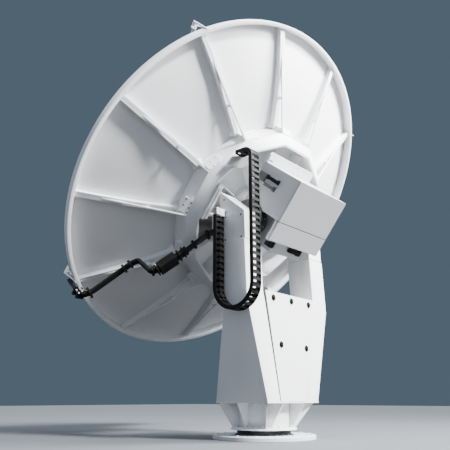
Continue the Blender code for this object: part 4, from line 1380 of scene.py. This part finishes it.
@dataclass
class Pedestal(SubAssembly):
    """The fork: two tapered columns with heads, the panels between them, the deck and the adaptor below."""

    body: Body = Body.PEDESTAL
    bottom: float = 0.390
    kink: float = 1.434
    panel_top: float = 1.546
    seam: float = 2.072
    bottom_half: float = 0.479
    panel_half: float = 0.255
    outer: float = 0.778
    inner: float = 0.492
    head_outer: float = 0.765
    rear: tuple[float, float, float] = (-0.424, -0.408, -0.382)
    front: tuple[float, float, float] = (0.287, -0.09, -0.05)

    def column(self, side: int) -> Shell:
        """One column: a rounded rectangle whose four sides run straight between the marked heights.

        Args:
            side: -1 for the left one and 1 for the right one.

        Returns:
            The column.
        """
        heights = np.array([self.bottom, self.kink, self.panel_top, self.seam - 0.004])
        marks = np.array([self.bottom, self.kink, self.seam])
        outside = np.interp(heights, [self.bottom, self.kink], [self.bottom_half, self.outer])
        inside = np.interp(heights, [self.bottom, self.panel_top], [self.panel_half, self.inner])
        rear, front = np.interp(heights, marks, self.rear), np.interp(heights, marks, self.front)
        outline = rounded(0.5, 0.5, 0.02, 2)
        corner = np.sign(outline) * 0.5
        soft = (outline - corner) * 0.35
        x, y = (
            (high + low)[:, None] / 2 + corner[:, axis] * (high - low)[:, None] + soft[:, axis]
            for axis, low, high in ((0, inside, outside), (1, rear, front))
        )
        return loft(np.stack([side * x, y, heights[:, None] + 0 * x], -1))

    def head(self, side: int) -> Shell:
        """One head: its side outline carried across the arm's width."""
        foot = self.seam + 0.002
        outline = [(self.rear[2], foot), (self.front[2], foot), (-0.01, 2.573), (-0.02, 2.693), (-0.37, 2.40)]
        return prism(outline, *sorted((side * (self.inner + 0.0005), side * self.head_outer)))

    def half_at(self, heights: Sequence[float]) -> Array:
        """Half the width between the columns at heights up to the panel's top."""
        return np.interp(heights, [self.bottom, self.panel_top], [self.panel_half, self.inner])

    def panel(self, is_rear: bool) -> Shell:
        """A body panel: its outline, narrow at the foot, set inside the columns and given a thickness.

        Args:
            is_rear: the rear panel, which is upright. The front one leans with the body.

        Returns:
            The panel.
        """
        foot, top = self.bottom + 0.002, self.panel_top
        half = self.half_at([foot, top])
        at_top = self.front[0] + self.lean() * (top - self.bottom)
        low, high = (0.0, 0.0) if is_rear else (self.front[0], at_top)
        steps = (-0.4185, -0.399) if is_rear else (-0.0065, -0.026)
        left, right = half - 0.021, half - 0.0012
        x, z = [-left[0], right[0], right[1], -left[1]], [foot, foot, top, top]
        y = np.array([low, low, high, high])
        return loft(np.stack([np.stack([x, y + step, z], -1) for step in steps]))

    def lean(self) -> float:
        """How far the front face moves back for each metre upwards, as a negative share."""
        return (self.front[1] - self.front[0]) / (self.kink - self.bottom)

    def panel_joint_shade(self) -> Shell:
        """Painted shade in the joint at the left of the rear panel: a dark strip set back behind it, as wide
        as the joint.
        """
        z = np.array([self.bottom + 0.002, self.panel_top - 0.001])[:, None]
        x = np.array([0.0004, 0.0215, 0.0215, 0.0004]) - self.half_at(z)
        y = np.array([-0.412, -0.412, -0.400, -0.400])
        return loft(np.stack(np.broadcast_arrays(x, y, z), -1))

    def panel_bolts(self) -> Shell:
        """The five dark fixings of the rear panel and their like on the front one."""
        lean, sides = self.lean(), []
        x, z = np.transpose([(-0.33, 1.481), (0.015, 1.481), (0.367, 1.481), (-0.206, 0.983), (0.285, 0.971)])
        front = self.front[0] - 0.0064 + lean * (z - self.bottom)
        for y, facing in ((-0.4186 + 0 * x, (0, -1, 0)), (front, (0, 1, -lean))):
            sides.append(bolts(np.stack([x, y, z], -1), facing, 0.0225, 0.017))
        return joined(sides)

    def head_screws(self) -> Shell:
        """Small screws near the rear edge of each head's outer side, and round the shaft covers."""
        places = [(-0.323, 2.355), (-0.327, 2.103), (-0.10, 2.103), (-0.08, 2.58)]
        sides = []
        for side in (-1, 1):
            spots = [(side * self.head_outer, y, z) for y, z in places]
            sides.append(bolts(spots, (side, 0, 0), 0.007, 0.004))
        return joined(sides)

    def bearing_rings(self) -> Shell:
        """Stepped rings on the inner faces of the heads, round the shafts."""
        outline = [
            (0.104, 0.4915), (0.225, 0.4915), (0.225, 0.4835), (0.155, 0.4835), (0.155, 0.470),
            (0.135, 0.462), (0.104, 0.462),
        ]
        return both_sides(turned(outline, 64)).shifted((0, TILT.axis_y, TILT.axis_z))

    def adaptor_bolts(self) -> Shell:
        """Bolts on the foot flange between the fins, and rows under the foot plate's edges."""
        foot = bolts(circle_spots(28, 0.318, 0.127, 0.06), (0, 0, 1), 0.011, 0.012)
        places = [(x, -0.405) for x in (-0.42, -0.38, -0.33, -0.28)]
        places += [(x, y) for x in (-0.458, 0.458) for y in (-0.38, -0.30, -0.22)]
        return joined([foot, bolts([(x, y, 0.3762) for x, y in places], (0, 0, -1), 0.008, 0.008)])

    def gearbox(self) -> Shell:
        """The drive on the deck: a foot, nine fins and the housing between them."""
        low, high, rear, front = 1.5065, 1.612, -0.318, -0.162
        pairs = [((-0.468, rear, low), (-0.302, front, low + 0.050))]
        pairs += [((x, rear, low + 0.045), (x + 0.006, front, high)) for x in np.linspace(-0.462, -0.314, 9)]
        return boxes(*pairs, ((-0.46, -0.30, low + 0.04), (-0.31, -0.18, high - 0.012)))

    def deck_bracket(self) -> Shell:
        """A small white bracket beside the drive: a foot, a post and a cross piece."""
        return boxes(
            ((-0.292, -0.330, 1.5065), (-0.240, -0.270, 1.515)),
            ((-0.290, -0.325, 1.514), (-0.278, -0.285, 1.612)),
            ((-0.290, -0.325, 1.588), (-0.245, -0.300, 1.598)),
        )

    def build(self) -> None:
        """Makes the fork and the pieces on it, and dresses the plates that stay."""
        white = "column_white"
        for side, name in ((-1, "left"), (1, "right")):
            self.piece(f"{name}_fork_column", self.column(side), white, f"{name}_column")
            self.piece(f"{name}_fork_head", self.head(side), white, f"{name}_head", bevel=0.006)
        self.piece("rear_body_panel", self.panel(True), white, "rear_panel", bevel=0.0025)
        self.piece("front_body_panel", self.panel(False), white, "front_panel", bevel=0.0025)
        self.piece("body_panel_fixings", self.panel_bolts(), "plastic", slot=Slot.STEEL)
        # Painted shade: a dark strip set back in the joint at the left of the rear panel.
        self.piece("rear_panel_joint_shade", self.panel_joint_shade(), "shadow")
        self.piece("head_screws", self.head_screws(), "screw")
        self.piece("shaft_bearing_rings", self.bearing_rings(), "dark")
        self.piece("adaptor_flange_ring", disc(0.2, 0.347, 0.1155, 0.127, 0.002, 96), white)
        self.piece("adaptor_bolts", self.adaptor_bolts(), "steel")
        self.piece("deck_bracket", self.deck_bracket(), white, bevel=0.002)
        self.piece("deck_drive", self.gearbox(), "dark", "deck_gearbox", bevel=0.002)
        self.dress(white, "deck_plate", "foot_plate", "adaptor")


@dataclass
class Base(SubAssembly):
    """The fixed base plate with its bolts and the toothed slewing ring."""

    body: Body = Body.BASE
    radius: float = 0.573
    thickness: float = 0.042
    tooth_count: int = 96

    def plate(self) -> Shell:
        """The base plate: a disc with a chamfered rim and a shallow recess under the ring."""
        r, t = self.radius, self.thickness
        rim = [(0.0, 0.0), (r - 0.002, 0.0), (r, 0.002), (r, t - 0.006), (r - 0.006, t)]
        return turned([*rim, (0.335, t), (0.332, t - 0.003), (0.0, t - 0.003)], 192).placed(upright)

    def teeth(self) -> Shell:
        """The ring gear: a radius that steps in and out at every tooth, between two heights, round a bore."""
        count = 4 * self.tooth_count
        lean = np.tile([0.15, -0.15, 0.15, -0.15], self.tooth_count)
        angle = 2 * np.pi * (np.arange(count) + lean) / count
        radius = 0.286 + 0.013 * np.tile([0.0, 1.0, 1.0, 0.0], self.tooth_count)
        low, high = 0.0425, 0.0935
        bore, under = 0.2, 0.28
        foot = (under, low + 0.010), (under, low), (bore, low)
        rows = (bore, high), (radius, high), (radius, low + 0.012), *foot
        lift = 0 * angle
        sections = [np.stack([r * np.cos(angle), r * np.sin(angle), z + lift], -1) for r, z in rows]
        return loft(np.stack(sections), closed=True)

    def build(self) -> None:
        """Makes the plate, the ring and the bolts."""
        self.piece("base_disc", self.plate(), "base_grey", "base_plate")
        self.piece("slewing_gear", self.teeth(), "gear", "slewing_ring", smooth=20)
        anchor = circle_spots(16, 0.525, self.thickness, 0.1)
        self.piece("base_anchor_bolts", bolts(anchor, (0, 0, 1), 0.011, 0.012), "base_grey")
        ring = circle_spots(24, 0.312, self.thickness - 0.003, 0.05)
        self.piece("slewing_ring_bolts", bolts(ring, (0, 0, 1), 0.010, 0.014), "screw")


@dataclass
class Turntable(SubAssembly):
    """The flange that turns on the slewing ring."""

    body: Body = Body.PEDESTAL

    def build(self) -> None:
        """Makes the flange."""
        flange = disc(0.0, 0.367, 0.0957, 0.115, 0.003, 144)
        self.piece("turntable_disc", flange, "column_white", "turntable_flange")


# The energy chain across the elevation axis


@dataclass
class CableChain(SubAssembly):
    """The energy chain: two side bands with hinge bosses, crossbars between them at every link, a bracket."""

    body: Body = Body.PEDESTAL
    x: float = -0.863
    width: float = 0.135
    depth: float = 0.045
    pitch: float = 0.066
    front_y: float = -0.085
    rear_y: float = -0.592
    bend_z: float = 1.565
    front_top: float = 2.367
    rear_top: float = 2.94
    curl: float = 0.085
    end_reach: float = 0.12
    boss_radius: float = 0.015
    cable_radius: float = 0.0075
    cable_steps: tuple[float, float] = (0.020, 0.042)
    head_side: float = -0.7655

    def route(self) -> Array:
        """The middle line: down the arm, half a circle, up the rear, a quarter circle and a level end."""
        radius = (self.front_y - self.rear_y) / 2
        middle = self.front_y - radius
        down = np.linspace(self.front_top, self.bend_z, 40, endpoint=False)
        turn = np.linspace(0, np.pi, 40, endpoint=False)
        up = np.linspace(self.bend_z, self.rear_top, 60, endpoint=False)
        over = np.radians(np.linspace(0, 90, 16))
        level = np.linspace(0, self.end_reach, 9)[1:]
        stretches = (
            (0 * down + self.front_y, down),
            (middle + radius * np.cos(turn), self.bend_z - radius * np.sin(turn)),
            (0 * up + self.rear_y, up),
            (self.rear_y + self.curl * (1 - np.cos(over)), self.rear_top + self.curl * np.sin(over)),
            (self.rear_y + self.curl + level, 0 * level + self.rear_top + self.curl),
        )
        y, z = (np.concatenate(column) for column in zip(*stretches))
        return np.stack([0 * y + self.x, y, z], -1)

    def link(self) -> Shell:
        """One link: a hinge boss outside each side band, a crossbar outside the bend and one inside it."""
        half, deep = self.width / 2, self.depth / 2
        boss = prism(circle(self.boss_radius, 12), 0.0, 0.0015)
        bosses = [boss.shifted((half - 0.0005, 0, 0)), boss.shifted((-half - 0.001, 0, 0))]
        wide = half - 0.004
        outside = (-wide, -deep, -0.015), (wide, -deep + 0.006, 0.015)
        inside = (-wide, deep - 0.006, 0.003), (wide, deep, 0.037)
        return joined([*bosses, boxes(outside, inside)])

    def links(self) -> Shell:
        """The two side bands carried along the route, every link on them, and lids at both ends."""
        route, across = self.route(), (1, 0, 0)
        count = round(route_length(route)[-1] / self.pitch)
        spots, frames = frames_along(route, (np.arange(count) + 0.5) / count, across)
        band = rounded(0.004, self.depth / 2, 0.002, 2)
        aside = self.width / 2 - 0.0045
        bands = [carried(band, route + [side * aside, 0, 0], across) for side in (-1, 1)]
        lid = rounded(self.width / 2 - 0.006, 0.001, 0.0005, 1) - [0, self.depth / 2 - 0.0072]
        lids = [carried(lid, route[stretch], across) for stretch in (slice(0, 58), slice(-24, None))]
        return joined([*bands, *lids, repeated(self.link(), spots, frames)])

    def cables(self) -> Shell:
        """Two thin cables in the chain, each a round outline carried along the route."""
        outline, route = circle(self.cable_radius, 10), self.route()
        return joined([carried(outline, route + [step, 0, 0], (1, 0, 0)) for step in self.cable_steps])

    def bracket(self) -> Shell:
        """The end bracket on the left head: two upright plates under a top plate, and one on the head."""
        left, right = self.x - self.width / 2 + 0.004, self.x + self.width / 2 - 0.002
        near, far = self.front_y - 0.030, self.front_y + 0.030
        low, high = self.front_top + 0.001, self.front_top + 0.080
        return boxes(
            ((left, near, low), (right, near + 0.006, high)),
            ((left, far - 0.006, low), (right, far, high - 0.03)),
            ((left, near, high - 0.008), (self.head_side, far, high)),
            ((self.head_side - 0.0095, near - 0.004, low), (self.head_side, far + 0.004, high)),
        )

    def build(self) -> None:
        """Makes the chain, which loops down the arm and up the rear, and its bracket; the chain and its
        cables hang on no body.
        """
        chain, wires = self.links(), self.cables()
        links = self.piece("energy_chain_links", chain, "plastic", "cable_chain", smooth=28, rides=False)
        cables = self.piece("energy_chain_cables", wires, "cable", smooth=60, rides=False)
        for made in (links, cables):
            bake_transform(made)
        self.piece("chain_head_bracket", self.bracket(), "white", "chain_anchor", Slot.STEEL, 0.0015)


# The stage


def shown(name: str, data: bpy.types.ID) -> bpy.types.Object:
    """Puts a mesh, a light or a camera into the scene."""
    made = bpy.data.objects.new(name, data)
    bpy.context.scene.collection.objects.link(made)
    return made


def standing(place: Sequence[float], right: Array, up: Array) -> Matrix:
    """Where something stands whose own x and y point right and up, and that looks along its own -z."""
    matrix = np.eye(4)
    matrix[:3] = np.stack([right, up, np.cross(right, up), np.asarray(place)], 1)
    return Matrix(matrix.tolist())


@dataclass
class Stage:
    """The pale floor, the soft light and the camera at the photograph's angle."""

    camera_place: tuple[float, float, float] = (-5.26, -4.017, 0.419)
    yaw: float = math.radians(48.88)
    pitch: float = math.radians(17.31)
    lens: float = 44.616
    film: float = 36.0
    key_towards: tuple[float, float, float] = (0.085, -0.787, 0.61)
    key_power: float = 12.0
    key_angle: float = math.radians(9)
    soft_box: tuple[float, float, float] = (2.5, -4.1, 6.85)
    soft_aim: tuple[float, float, float] = (0.75, -0.55, 4.0)
    soft_power: float = 3000.0
    soft_size: float = 3.0
    sky_seen: tuple[float, float, float] = (0.085, 0.125, 0.165)
    sky_light: tuple[float, float, float] = (0.74, 0.84, 1.0)
    sky_strength: float = 0.75
    floor_seen: tuple[float, float, float] = (0.105, 0.115, 0.125)
    floor_bounce: tuple[float, float, float] = (0.004, 0.004, 0.005)
    floor_half: float = 30.0

    def floor(self) -> None:
        """Lays a flat square floor just under the base plate."""
        mesh, half = bpy.data.meshes.new("floor"), self.floor_half
        corners = [(x * half, y * half, -0.001) for x, y in ((-1, -1), (1, -1), (1, 1), (-1, 1))]
        mesh.from_pydata(corners, [], [(0, 1, 2, 3)])
        mesh.materials.append(self.floor_material())
        shown("floor", mesh)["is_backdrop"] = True

    def floor_material(self) -> bpy.types.Material:
        """The floor's plain material: pale to the camera, dark to other rays so that it bounces little."""
        made, wire, shader = blank_material("studio_floor", Metallic=0.0, Roughness=0.8)
        ray = wire.add("ShaderNodeLightPath").outputs["Is Camera Ray"]
        colour = wire.mixed(ray, opaque(*self.floor_bounce), opaque(*self.floor_seen))
        wire.set(shader.inputs["Base Color"], colour)
        return made

    def camera(self) -> None:
        """Sets the camera: right, up and ahead directions from the yaw and pitch, with no roll."""
        level = math.cos(self.pitch)
        ahead = np.array([math.sin(self.yaw) * level, math.cos(self.yaw) * level, math.sin(self.pitch)])
        right = np.array([math.cos(self.yaw), -math.sin(self.yaw), 0.0])
        data = bpy.data.cameras.new("camera")
        data.lens, data.sensor_width = self.lens, self.film
        made = shown("camera", data)
        made.matrix_world = standing(self.camera_place, right, np.cross(right, ahead))
        bpy.context.scene.camera = made

    def sun(self) -> None:
        """Sets the soft key light over the right of the rear side: it tips from the zenith and then turns."""
        data = bpy.data.lights.new("key", "SUN")
        data.energy, data.angle = self.key_power, self.key_angle
        x, y, z = unit(np.array(self.key_towards))
        shown("key", data).rotation_euler = (math.acos(z), 0.0, math.atan2(x, -y))

    def soft_light(self) -> None:
        """Sets the soft box that looks at the dish's top."""
        data = bpy.data.lights.new("soft_box", "AREA")
        data.energy, data.size = self.soft_power, self.soft_size
        ahead = unit(np.array(self.soft_aim) - np.array(self.soft_box))
        across, down = squared(ahead[None], (1, 0, 0))
        shown("soft_box", data).matrix_world = standing(self.soft_box, across[0], -down[0])

    def sky(self) -> None:
        """Sets an even sky: pale light on everything, and a deeper blue to the camera."""
        world = bpy.data.worlds.new("studio")
        world.use_nodes = True
        wire, nodes = Wiring(world.node_tree), world.node_tree.nodes
        nodes["Background"].inputs["Color"].default_value = opaque(*self.sky_seen)
        light = opaque(*self.sky_light)
        fill = wire.add("ShaderNodeBackground", None, Color=light, Strength=self.sky_strength).outputs[0]
        ray = wire.add("ShaderNodeLightPath").outputs["Is Camera Ray"]
        mix = wire.add("ShaderNodeMixShader", None, _0=ray, _1=fill, _2=nodes["Background"].outputs[0])
        wire.set(nodes["World Output"].inputs["Surface"], mix.outputs[0])
        bpy.context.scene.world = world

    def build(self) -> None:
        """Makes the camera, the lights, the sky and the floor."""
        self.camera()
        self.sun()
        self.sky()
        self.soft_light()
        self.floor()


def corners(pair: Sequence[Sequence[float]]) -> list[list[float]]:
    """A box as plain lists."""
    return [[float(value) for value in corner] for corner in pair]


def main() -> None:
    """Builds the stage and every sub-assembly in order."""
    logging.basicConfig(level=logging.INFO, format="%(name)s %(message)s")
    solids = corners(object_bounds())
    grounded = Stage(), Base(), Turntable(), Pedestal(), CableChain()
    for part in (*grounded, Dish(), Hub(), Receiver(), Waveguide(), Feed()):
        log.info("building %s", type(part).__name__)
        part.build()
    {"solids": solids, "dressed": corners(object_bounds())}


if __name__ == "__main__":
    main()
